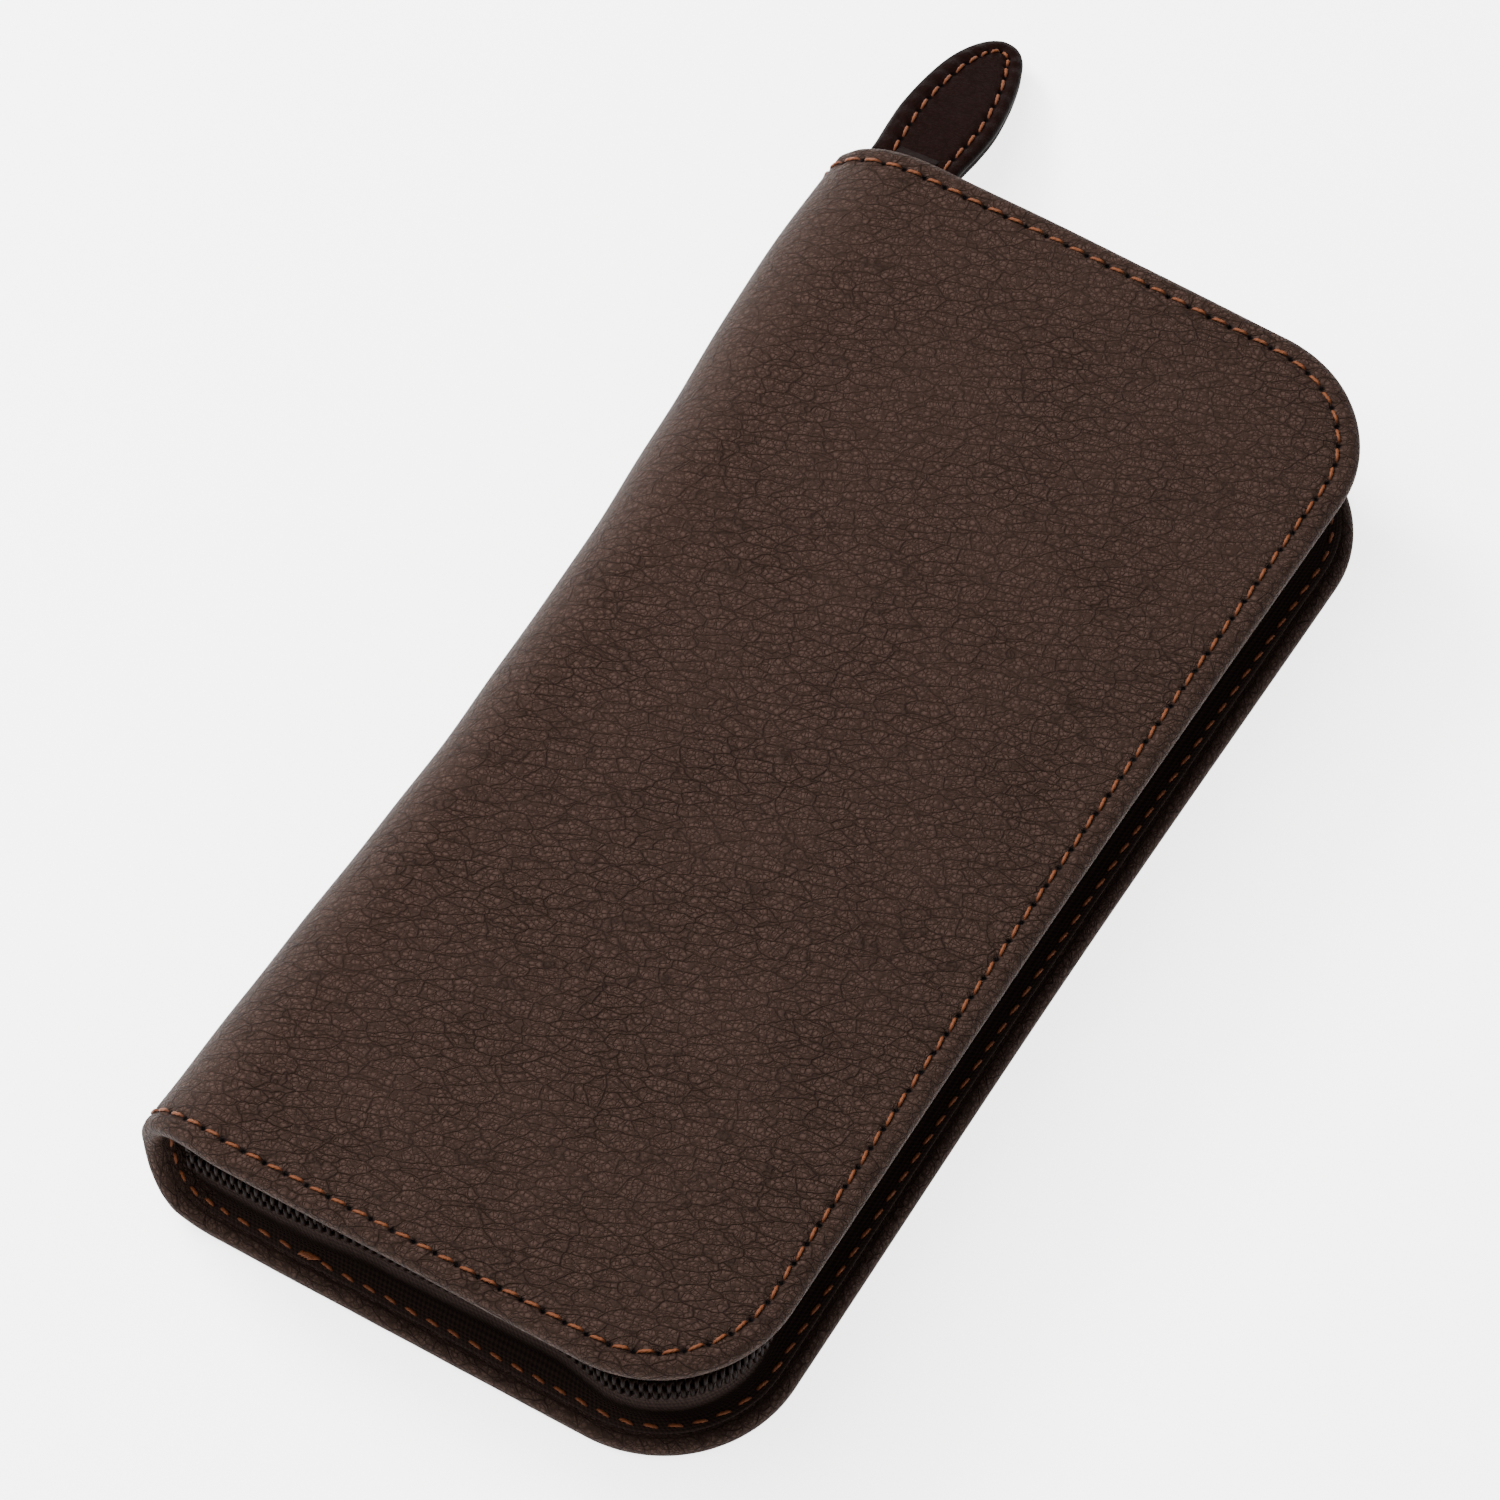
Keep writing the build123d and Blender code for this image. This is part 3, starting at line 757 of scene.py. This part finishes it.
def gusset_piece(side, end, material):
    """A pleat of soft leather that opens like a fan between a cover and the coin pouch."""
    node = f"{SIDES[side]}_gusset_{'far' if end > 0 else 'near'}"
    low, high = node_box(node)
    x = np.linspace(low[0], high[0], 30)
    outer = max(abs(low[1]), abs(high[1])) - 0.3
    pouch_end = node_box("coin_pouch_front_wall")[1][1] - 0.5
    z_pouch, z_cover = gusset_heights(node, side)
    s = np.linspace(0, 1, 25)
    depth = 4 + 13 * smooth(x, x[0], x[-1])  # the pleat folds in further where it opens wider
    fold = 1 - np.abs(2 * s - 1) ** 1.15
    y = outer - (outer - pouch_end) * s[None] - depth[:, None] * fold[None]
    z = z_cover + (z_pouch - z_cover) * (0.04 + 0.92 * s[None]) + 0 * y
    half = 0.28                           # half the leather's thickness
    dy, dz = np.gradient(y, axis=1), np.gradient(z, axis=1)
    size = np.hypot(dy, dz)
    across = x[:, None] + 0 * y
    sheets = [np.stack([across, end * (y + sign * dz / size * half), z - sign * dy / size * half], -1)
              for sign in (1, -1)]
    return double_sheet("pleat_" + node, sheets, y.shape, material, (0, 200.0, 0)), node


# ---- the coin pouch -----------------------------------------------------
def ribbon(name, path, inward, line, thick, material):
    """A strip swept along a path; its section is a list of (distance inward, height)."""
    line = np.asarray(line, float)
    step = unit(np.gradient(line, axis=0))
    side = np.column_stack([-step[:, 1], step[:, 0]]) * thick / 2
    loop = np.concatenate([line + side, (line - side)[::-1]])
    flat = path[:, None] + inward[:, None] * loop[None, :, :1]
    heights = np.broadcast_to(loop[None, :, 1:], (len(path), len(loop), 1))
    points = np.concatenate([flat, heights], axis=-1).reshape(-1, 3)
    faces = grid_faces(len(path), len(loop), close_columns=True) + end_caps(len(loop), len(points))
    obj = make_object(name, points, faces, material)
    across = np.tile(run_along(loop), len(path))
    weave = [np.repeat(run_along(path), len(loop)), across, np.zeros(len(points))]
    point_values(obj, "hide", np.stack(weave, axis=-1))
    weld(obj)
    return obj


def pouch_band(material):
    """The pleated band that closes the coin pouch round three sides."""
    low, high = node_box("coin_pouch_band")
    radius, pleat = 5.0, 2.4
    turns = np.linspace(math.pi * 1.5, math.pi, 9)
    corner = np.column_stack([low[0] + radius * (1 + np.cos(turns)), low[1] + radius * (1 + np.sin(turns))])
    run = np.column_stack([np.linspace(high[0], low[0] + radius + 1, 40), np.full(40, low[1])])
    near = np.concatenate([run, corner])
    half_back = -low[1] - radius - 1
    back = np.column_stack([np.full(100, low[0]), np.linspace(-half_back, half_back, 100)])
    path = np.concatenate([near, back, near[::-1] * (1, -1)])
    along = unit(np.gradient(path, axis=0))
    inward = np.column_stack([-along[:, 1], along[:, 0]])
    inward *= np.sign(((-path + (5, 0)) * inward).sum(1))[:, None]
    s = np.linspace(0, 1, 13)
    line = np.column_stack([0.45 + pleat * (1 - np.abs(2 * s - 1) ** 1.2), low[2] + (high[2] - low[2]) * s])
    return ribbon("pouch_pleat", path, inward, line, 0.5, material)


def coin_tape(material):
    """Both tapes of the coin zip, each one closing on its own coil."""
    low, high = node_box("coin_zip_tapes")
    coil_low, _ = node_box("coin_zip_coils")
    path = np.column_stack([np.zeros(160), np.linspace(low[1], high[1], 160)])
    inward = np.tile([[1.0, 0.0]], (160, 1))
    pieces = []
    for side in (-1, 1):
        flat = middle + side * (middle - low[2] - 0.2)
        lift = middle + side * (middle - coil_low[2] - 0.35)
        line = [(low[0], flat), (low[0] + 3, flat), (high[0] - 1.6, flat),
                (high[0] - 0.8, (flat * 2 + lift) / 3), (high[0], lift)]
        pieces.append(ribbon(f"coin_tape_{SIDES[side]}", path, inward, line, 0.4, material))
    return pieces


def coin_coil(material):
    """Both coils of the coin zip."""
    low, high = node_box("coin_zip_coils")
    wire, per_loop, around, spacing = 0.2, 12, 6, 1.3
    loops = int((high[1] - low[1]) / spacing)
    s = np.arange(loops * per_loop + 1) / per_loop
    deep = (high[0] - low[0]) / 2 - wire
    reach = (middle - low[2]) / 2 - wire / 2
    pieces = []
    for side in (-1, 1):
        turn = 2 * np.pi * (s + (0.5 if side > 0 else 0))
        z = middle + side * (reach + 0.08) - side * (reach - wire / 2) * np.cos(turn)
        x = (low[0] + high[0]) / 2 + deep * np.sin(turn)
        y = low[1] + wire + (high[1] - low[1] - 2 * wire) * s / loops
        centre = np.column_stack([x, y, z])
        pieces.append(tube_piece(f"coin_coil_{SIDES[side]}", centre, wire, around, material))
    return pieces


def sewn_row(line, up, closed=False):
    """Stitches along a line that is already spaced at one stitch."""
    a, b = (line, np.roll(line, -1, axis=0)) if closed else (line[:-1], line[1:])
    step = (b - a) * hole_gap
    return a + step, b - step, np.repeat([[0.0, 0.0, up]], len(a), axis=0)


def panel_row(node, radius, inset, up, open_edge=True):
    """A row of stitches round a panel, on its upper or lower face."""
    low, high = node_box(node)
    outline, _ = panel_loop(low[:2] + inset, high[:2] - inset, max(radius - inset, 0.8))
    run = np.linalg.norm(np.roll(outline, -1, axis=0) - outline, axis=1).sum()
    flat = even_loop(outline, int(run / pitch))
    level = (high[2] if up > 0 else low[2]) - 0.03 * up
    row = sewn_row(np.column_stack([flat, np.full(len(flat), level)]), up, closed=True)
    if open_edge:
        sewn = np.minimum(row[0][:, 0], row[1][:, 0]) < high[0] - inset - 0.6
        row = tuple(part[sewn] for part in row)
    return row


def inside_sewing(name, rows, material):
    """Thread pieces of the inside, in one mesh."""
    parts = (np.concatenate(part) for part in zip(*rows))
    obj = thread_piece(name, *parts, material, radius=0.19, dip=0.3, lift=0.08)
    return obj


def pocket_rows(name, side):
    """The note pocket's edge row, and the row that divides each card panel into two."""
    rows = [panel_row(f"{name}_note_pocket", pocket_radius, pocket_stitch_inset, -side)]
    for k in (1, 2, 3, 4):
        low, high = node_box(f"{name}_card_panel_{k}")
        level = low[2] + 0.03 if side > 0 else high[2] - 0.03
        x = np.arange(high[0] - 11.0, high[0] - 1.0, 3.2)
        rows.append(sewn_row(np.column_stack([x, 0 * x, 0 * x + level]), -side))
    return rows


# ---- materials ----------------------------------------------------------
class Shader:
    """A node material, built by naming nodes and what feeds them."""

    def __init__(self, name):
        self.material = bpy.data.materials.new(name)
        self.material.use_nodes = True
        self.tree = self.material.node_tree

    def set(self, node, inputs):
        """Fill a node's inputs with constants or with other nodes' outputs."""
        for key, value in inputs.items():
            if isinstance(value, bpy.types.NodeSocket):
                self.tree.links.new(value, node.inputs[key])
            else:
                node.inputs[key].default_value = value

    def finish(self, colour, inputs):
        """Feed the surface shader, and give the finished material."""
        self.set(self.tree.nodes["Principled BSDF"], {"Base Color": colour, **inputs})
        return self.material

    def node(self, kind, inputs=None, **settings):
        """Add one node."""
        made = self.tree.nodes.new("ShaderNode" + kind)
        for key, value in settings.items():
            setattr(made, key, value)
        self.set(made, inputs or {})
        return made

    def math(self, operation, a, b=0.0):
        """One arithmetic step."""
        return self.node("Math", {0: a, 1: b}, operation=operation).outputs[0]

    def times(self, a, b):
        """A product."""
        return self.math("MULTIPLY", a, b)

    def scale(self, value, from_low, from_high, to_low=0.0, to_high=1.0):
        """Map one range to another, held at both ends."""
        return self.node("MapRange", {0: value, 1: from_low, 2: from_high, 3: to_low, 4: to_high}).outputs[0]

    def mix(self, share, a, b):
        """Blend two colours."""
        return self.node("Mix", {0: share, 6: a, 7: b}, data_type="RGBA").outputs[2]

    def noise(self, place, scale, detail=2.0, rough=0.5):
        """Soft noise from 0 to 1."""
        inputs = {"Vector": place, "Scale": scale, "Detail": detail, "Roughness": rough}
        return self.node("TexNoise", inputs).outputs[0]

    def cells(self, place, scale, feature="DISTANCE_TO_EDGE"):
        """Distance in a cell pattern."""
        return self.node("TexVoronoi", {"Vector": place, "Scale": scale}, feature=feature).outputs["Distance"]

    def stretched(self, place, scale, turn):
        """The same coordinates, turned and then stretched."""
        turned = self.node("Mapping", {"Vector": place, "Rotation": (0, 0, turn)})
        return self.node("Mapping", {"Vector": turned.outputs[0], "Scale": scale}).outputs[0]

    def warped(self, place, scale, amount):
        """Coordinates pushed about by noise."""
        push = self.node("TexNoise", {"Vector": place, "Scale": scale, "Detail": 2.0})
        half = (0.5, 0.5, 0.5)
        centred = self.node("VectorMath", {0: push.outputs["Color"], 1: half}, operation="SUBTRACT")
        scaled = self.node("VectorMath", {0: centred.outputs[0], "Scale": amount}, operation="SCALE")
        return self.node("VectorMath", {0: place, 1: scaled.outputs[0]}, operation="ADD").outputs[0]

    def attribute(self, name, output="Vector"):
        """A value stored at the mesh's points."""
        return self.node("Attribute", attribute_name=name).outputs[output]

    def object_mm(self):
        """Object coordinates in millimetres."""
        place = self.node("TexCoord").outputs["Object"]
        return self.node("VectorMath", {0: place, "Scale": 1 / MM}, operation="SCALE").outputs[0]

    def bump(self, height, depth_mm):
        """Fine relief from a height between 0 and 1."""
        return self.node("Bump", {"Strength": 1.0, "Distance": depth_mm * MM, "Height": height}).outputs[0]


def leather_material(name, dark, light, crease_shade_and_edge_colour, grain=1.4, depth=0.3, relief=1.0):
    """Shrunken pebbled leather: fine domed pebbles with pits between, in plates bounded by long creases."""
    m = Shader(name)
    place = m.attribute("hide")
    along = m.node("SeparateXYZ", {0: place}).outputs[1]
    warped = m.warped(place, 1.3, 0.3)
    dome = m.cells(warped, grain, "F1")
    crevice = m.scale(m.cells(warped, grain), 0.0, 0.17, 1.0, 0.0)
    pit = m.scale(dome, 0.44, 0.72, 0.0, 1.0)
    bent = m.warped(place, 0.5, 1.0)
    plate_edge = m.cells(m.stretched(bent, (0.42, 1.0, 1.0), -0.35), 0.36 * grain)
    small_edge = m.cells(m.stretched(bent, (0.6, 1.0, 1.0), -0.3), 0.8 * grain)
    open_here = m.math("ADD", m.noise(place, 0.06, 1.0), m.times(along, -0.001))
    plates = m.times(m.scale(plate_edge, 0.0, 0.08, 1.0, 0.0), m.scale(open_here, 0.3, 0.7, 0.8, 1.0))
    smalls = m.times(m.scale(small_edge, 0.0, 0.1, 1.0, 0.0), m.scale(open_here, 0.3, 0.7, 0.6, 0.75))
    deep = m.math("MAXIMUM", m.times(crevice, 0.4), m.times(pit, 0.5))
    low = m.math("MAXIMUM", deep, m.math("MAXIMUM", plates, smalls))
    pores = m.noise(place, 5.0 * grain, 3.0, 0.65)
    height = m.math("SUBTRACT", m.times(pores, 0.16), m.times(low, relief * 0.7))
    height = m.math("SUBTRACT", height, m.times(dome, relief * 0.35))
    # tone: random pore tone, with painted shade darkening towards each pebble's rim
    tone = m.scale(m.math("SUBTRACT", m.times(pores, 0.45), m.times(dome, 0.3)), -0.3, 0.3)
    colour = m.mix(tone, dark, light)
    # painted shade: pits, crevices and creases darkened towards the dark shade colour
    colour = m.mix(m.times(low, min(1.0, 0.8 * relief)), colour, crease_shade_and_edge_colour)
    # painted shade: near black in and round the needle holes
    hole = m.scale(m.attribute("hole_shade", "Fac"), 0.3, 0.75)
    colour = m.mix(hole, colour, (0.0012, 0.0008, 0.0008, 1))
    burnish = m.times(m.attribute("edge", "Fac"), 0.7)
    return m.finish(m.mix(burnish, colour, crease_shade_and_edge_colour),
                    {"Roughness": m.scale(pores, 0.2, 0.8, 0.42, 0.58), "IOR": 1.2,
                     "Specular IOR Level": 0.06, "Normal": m.bump(height, depth)})


def thread_material(name, lit, shade):
    """Twisted polyester thread: noise mixes its lit and shaded colours, with painted shade where it enters its
    holes.
    """
    m = Shader(name)
    fibre = m.noise(m.object_mm(), 9.0)
    # painted shade towards both ends of each stitch, where it dips into its holes
    end = m.scale(m.math("ABSOLUTE", m.math("SUBTRACT", m.attribute("twist", "Fac"), 0.5)), 0.22, 0.5)
    colour = m.mix(m.times(end, 0.8), m.mix(fibre, shade, lit), shade)
    return m.finish(colour, {"Roughness": 0.6, "Specular IOR Level": 0.2, "Normal": m.bump(fibre, 0.06)})


def tape_material(name, dark, light):
    """Woven zip tape: fine ribs across the tape and a herringbone along it."""
    m = Shader(name)
    place = m.attribute("hide")
    split = m.node("SeparateXYZ", {0: place})
    slant = m.math("ADD", m.times(split.outputs[0], 9.0), m.times(split.outputs[1], 5.0))
    rib = m.scale(m.math("SINE", slant), -1, 1)
    cross = m.scale(m.math("SINE", m.times(split.outputs[1], 11.0)), -1, 1)
    height = m.math("ADD", m.times(m.math("ADD", rib, cross), 0.4), m.times(m.noise(place, 5.0, 3.0), 0.4))
    colour = m.mix(m.scale(height, 0.2, 1.0), dark, light)
    return m.finish(colour, {"Roughness": 0.85, "Specular IOR Level": 0.1, "Normal": m.bump(height, 0.12)})


def cloth_material(name, dark, light):
    """Fine twill lining."""
    m = Shader(name)
    place = m.object_mm()
    split = m.node("SeparateXYZ", {0: place})
    slant = m.math("ADD", m.times(split.outputs[0], 6.0), m.times(split.outputs[1], 6.0))
    twill = m.scale(m.math("SINE", slant), -1, 1)
    height = m.math("ADD", m.times(twill, 0.6), m.times(m.noise(place, 3.0, 3.0), 0.4))
    return m.finish(m.mix(height, dark, light),
                    {"Roughness": 0.85, "Specular IOR Level": 0.12, "Normal": m.bump(height, 0.06)})


def nylon_material(name, dark, light):
    """Dyed nylon monofilament with a slight sheen."""
    m = Shader(name)
    scuff = m.noise(m.object_mm(), 2.2, 3.0)
    return m.finish(m.mix(scuff, dark, light),
                    {"Roughness": m.scale(scuff, 0.3, 0.7, 0.28, 0.45), "IOR": 1.3,
                     "Specular IOR Level": 0.035, "Specular Tint": (0.75, 0.42, 0.33, 1)})


def brass_material(name, dark, light):
    """Antique brass plating, darker where it is left alone and brighter where it rubs."""
    m = Shader(name)
    place = m.object_mm()
    worn = m.scale(m.noise(place, 0.8, 4.0), 0.35, 0.65)
    grit = m.noise(place, 7.0, 3.0)
    return m.finish(m.mix(worn, dark, light),
                    {"Roughness": m.scale(grit, 0.3, 0.7, 0.27, 0.42), "Metallic": 1.0,
                     "Normal": m.bump(grit, 0.015)})


def board_material(name, dark, light):
    """Bonded fibre board."""
    m = Shader(name)
    fibre = m.noise(m.object_mm(), 1.6, 5.0, 0.7)
    return m.finish(m.mix(fibre, dark, light), {"Roughness": 0.9, "Normal": m.bump(fibre, 0.08)})


hide_leather = leather_material("pebbled_leather", (0.0222, 0.0125, 0.0096, 1), (0.0470, 0.0285, 0.0226, 1),
                                (0.0034, 0.0016, 0.0012, 1))
smooth_grain = {"grain": 1.8, "depth": 0.08, "relief": 0.5}
# the hide's leather with a smoother grain, in a much darker copy: its darkness is painted shade on the tilted tab
shade_darkened_tab_leather = leather_material("shade_darkened_tab_leather", (0.0040, 0.0015, 0.0012, 1), (0.0085, 0.0034, 0.0027, 1),
                               (0.0018, 0.0008, 0.0006, 1), **smooth_grain)
inner_leather = leather_material("smooth_leather", (0.0240, 0.0105, 0.0068, 1), (0.0380, 0.0180, 0.0122, 1),
                                 (0.0070, 0.0028, 0.0020, 1), **smooth_grain)
rust_thread = thread_material("rust_thread", (0.175, 0.048, 0.011, 1), (0.045, 0.011, 0.003, 1))
zip_cloth = tape_material("zip_tape_weave", (0.0055, 0.0030, 0.0023, 1), (0.0230, 0.0125, 0.0093, 1))
nylon = nylon_material("nylon_coil", (0.0022, 0.0011, 0.0009, 1), (0.0060, 0.0033, 0.0026, 1))
brass = brass_material("antique_brass", (0.14, 0.085, 0.035, 1), (0.42, 0.29, 0.13, 1))
lining_cloth = cloth_material("twill_lining", (0.040, 0.021, 0.013, 1), (0.085, 0.048, 0.031, 1))
card_board = board_material("fibre_board", (0.24, 0.19, 0.14, 1), (0.38, 0.31, 0.24, 1))


def bend_with_cover(obj, side):
    """Bake a piece's placement into its mesh, the same way for either side."""
    if side > 0:
        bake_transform(obj)
    else:
        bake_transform(obj)


for side, name in SIDES.items():
    body = f"{name}_cover"
    shell = [(cover_hide(side, hide_leather), "cover_leather", f"{name}_leather", "spine_leather"),
             (cover_stitching(side, rust_thread), "thread", f"{name}_stitching"),
             (zip_tape(side, zip_cloth), "zip_tape", f"{name}_zip_tape"),
             (zip_coil(side, nylon), "zip_coil", f"{name}_zip_coil"),
             (lining_sheet(side, lining_cloth), "lining", f"{name}_lining", "spine_lining")]
    for piece, slot, *nodes in shell:
        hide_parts(*nodes)
        if slot in ("zip_tape", "zip_coil"):
            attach(piece, body)
        else:
            bend_with_cover(piece, side)

    for panel in ["note_pocket"] + [f"card_panel_{k}" for k in (1, 2, 3, 4)]:
        piece = panel_piece(f"{panel}_{name}", f"{name}_{panel}", pocket_radius, inner_leather)
        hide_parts(f"{name}_{panel}")
        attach(piece, body)

    for end in (1, -1):
        pleat, node = gusset_piece(side, end, inner_leather)
        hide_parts(node)
        at_pouch, at_cover = (Vector((0, 0, z)) * MM for z in gusset_heights(node, side))
        if side > 0:
            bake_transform(pleat)
        else:
            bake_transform(pleat)

    sewing = inside_sewing(f"pocket_sewing_{name}", pocket_rows(name, side), rust_thread)
    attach(sewing, body)

# ---- the coin pouch, which rides on the spine ---------------------------
walls = {f"coin_pouch_{name}_wall": side for side, name in SIDES.items()}
pouch_pieces = []
for wall, side in walls.items():
    panel = panel_piece(f"pouch_wall_{SIDES[side]}", wall, wall_radius, inner_leather)
    pouch_pieces.append(("pocket_leather", wall, [panel]))
pouch_pieces += [("pocket_leather", "coin_pouch_band", [pouch_band(inner_leather)]),
                 ("zip_tape", "coin_zip_tapes", coin_tape(zip_cloth)),
                 ("zip_coil", "coin_zip_coils", coin_coil(nylon))]
for slot, node, pieces in pouch_pieces:
    for piece in pieces:
        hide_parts(node)
        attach(piece, "spine")

wall_rows = [panel_row(wall, wall_radius, wall_stitch_inset, side, False) for wall, side in walls.items()]
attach(inside_sewing("pouch_sewing", wall_rows, rust_thread), "spine")

# ---- the pull tab -------------------------------------------------------
tab = pull_tab(shade_darkened_tab_leather)
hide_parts("pull_tab_leather")
strap = tab_strap(shade_darkened_tab_leather)
tab_sewing = tab_thread(rust_thread)
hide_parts("pull_tab_stitching")
for piece, slot in ((tab_sewing, "thread"), (tab, "cover_leather"), (strap, "cover_leather")):
    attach(piece, "pull_tab")


# ---- CAD nodes that stay, with their materials --------------------------
def soften(node, width=0.22):
    """Round a metal node's edges with modifiers, as casting and plating do."""
    node.modifiers.new("join", "WELD").merge_threshold = 1e-6
    bevel = node.modifiers.new("bevel", "BEVEL")
    bevel.width = width * MM
    bevel.segments = 3
    bevel.limit_method = "ANGLE"
    bevel.angle_limit = math.radians(35)
    bevel.harden_normals = False
    node.data.shade_smooth()


looks = {"stiffener": card_board, "zip_metal": brass}
for part in frame["record"]["subparts"]:
    node = frame["nodes"][part["node"]]
    if not node.hide_render:
        node.data.materials.clear()
        node.data.materials.append(looks[part["material_slot"]])
        if part["material_slot"] == "zip_metal":
            soften(node)


# ---- floor, light and camera, in metres ---------------------------------
def floor(size=4.0, glow=3.4):
    """Plain pale floor, which glows as the photograph's white ground does."""
    m = Shader("pale_floor")
    tone = m.noise(m.node("TexCoord").outputs["Object"], 3.0)
    pale = m.finish(m.mix(tone, (0.86, 0.86, 0.86, 1), (0.9, 0.9, 0.9, 1)),
                    {"Roughness": 0.9, "Emission Color": (1, 1, 1, 1), "Emission Strength": glow})
    corners = np.array([(-size, -size, 0), (size, -size, 0), (size, size, 0), (-size, size, 0)])
    make_object("floor", corners / MM, [(0, 1, 2, 3)], pale)


def soft_light(name, place, size, power, aim=(0, 0, 0.01)):
    """A large area light, aimed at the wallet."""
    data = bpy.data.lights.new(name, "AREA")
    data.shape = "SQUARE"
    data.size = size
    data.energy = power
    obj = bpy.data.objects.new(name, data)
    obj.location = place
    obj.rotation_mode = "QUATERNION"
    obj.rotation_quaternion = (Vector(aim) - Vector(place)).to_track_quat("-Z", "Y")
    bpy.context.scene.collection.objects.link(obj)


def camera(place, forward, up, lens):
    """The camera at the photograph's viewpoint."""
    data = bpy.data.cameras.new("camera")
    data.sensor_width = 36
    data.lens = lens
    data.clip_start, data.clip_end = 0.05, 20
    obj = bpy.data.objects.new("camera", data)
    forward = Vector(forward).normalized()
    right = forward.cross(Vector(up)).normalized()
    turn = Matrix((right, right.cross(forward), -forward)).transposed().to_4x4()
    obj.matrix_world = Matrix.Translation(place) @ turn
    bpy.context.scene.collection.objects.link(obj)
    bpy.context.scene.camera = obj


floor()
# the camera is fitted to the photograph's rows of stitches
camera(place=(0.33353, -0.52439, 1.01156), forward=(-0.28967, 0.44683, -0.84642),
       up=(-0.43071, 0.72888, 0.53219), lens=198.9)
soft_light("overhead", place=(-0.5, -0.1, 1.25), size=1.0, power=30.0)
soft_light("key", place=(-0.95, 0.25, 0.8), size=0.4, power=28.0)
world = bpy.data.worlds.new("studio")
world.use_nodes = True
background = world.node_tree.nodes["Background"]
background.inputs["Color"].default_value = (1, 1, 1, 1)
background.inputs["Strength"].default_value = 0.6
bpy.context.scene.world = world
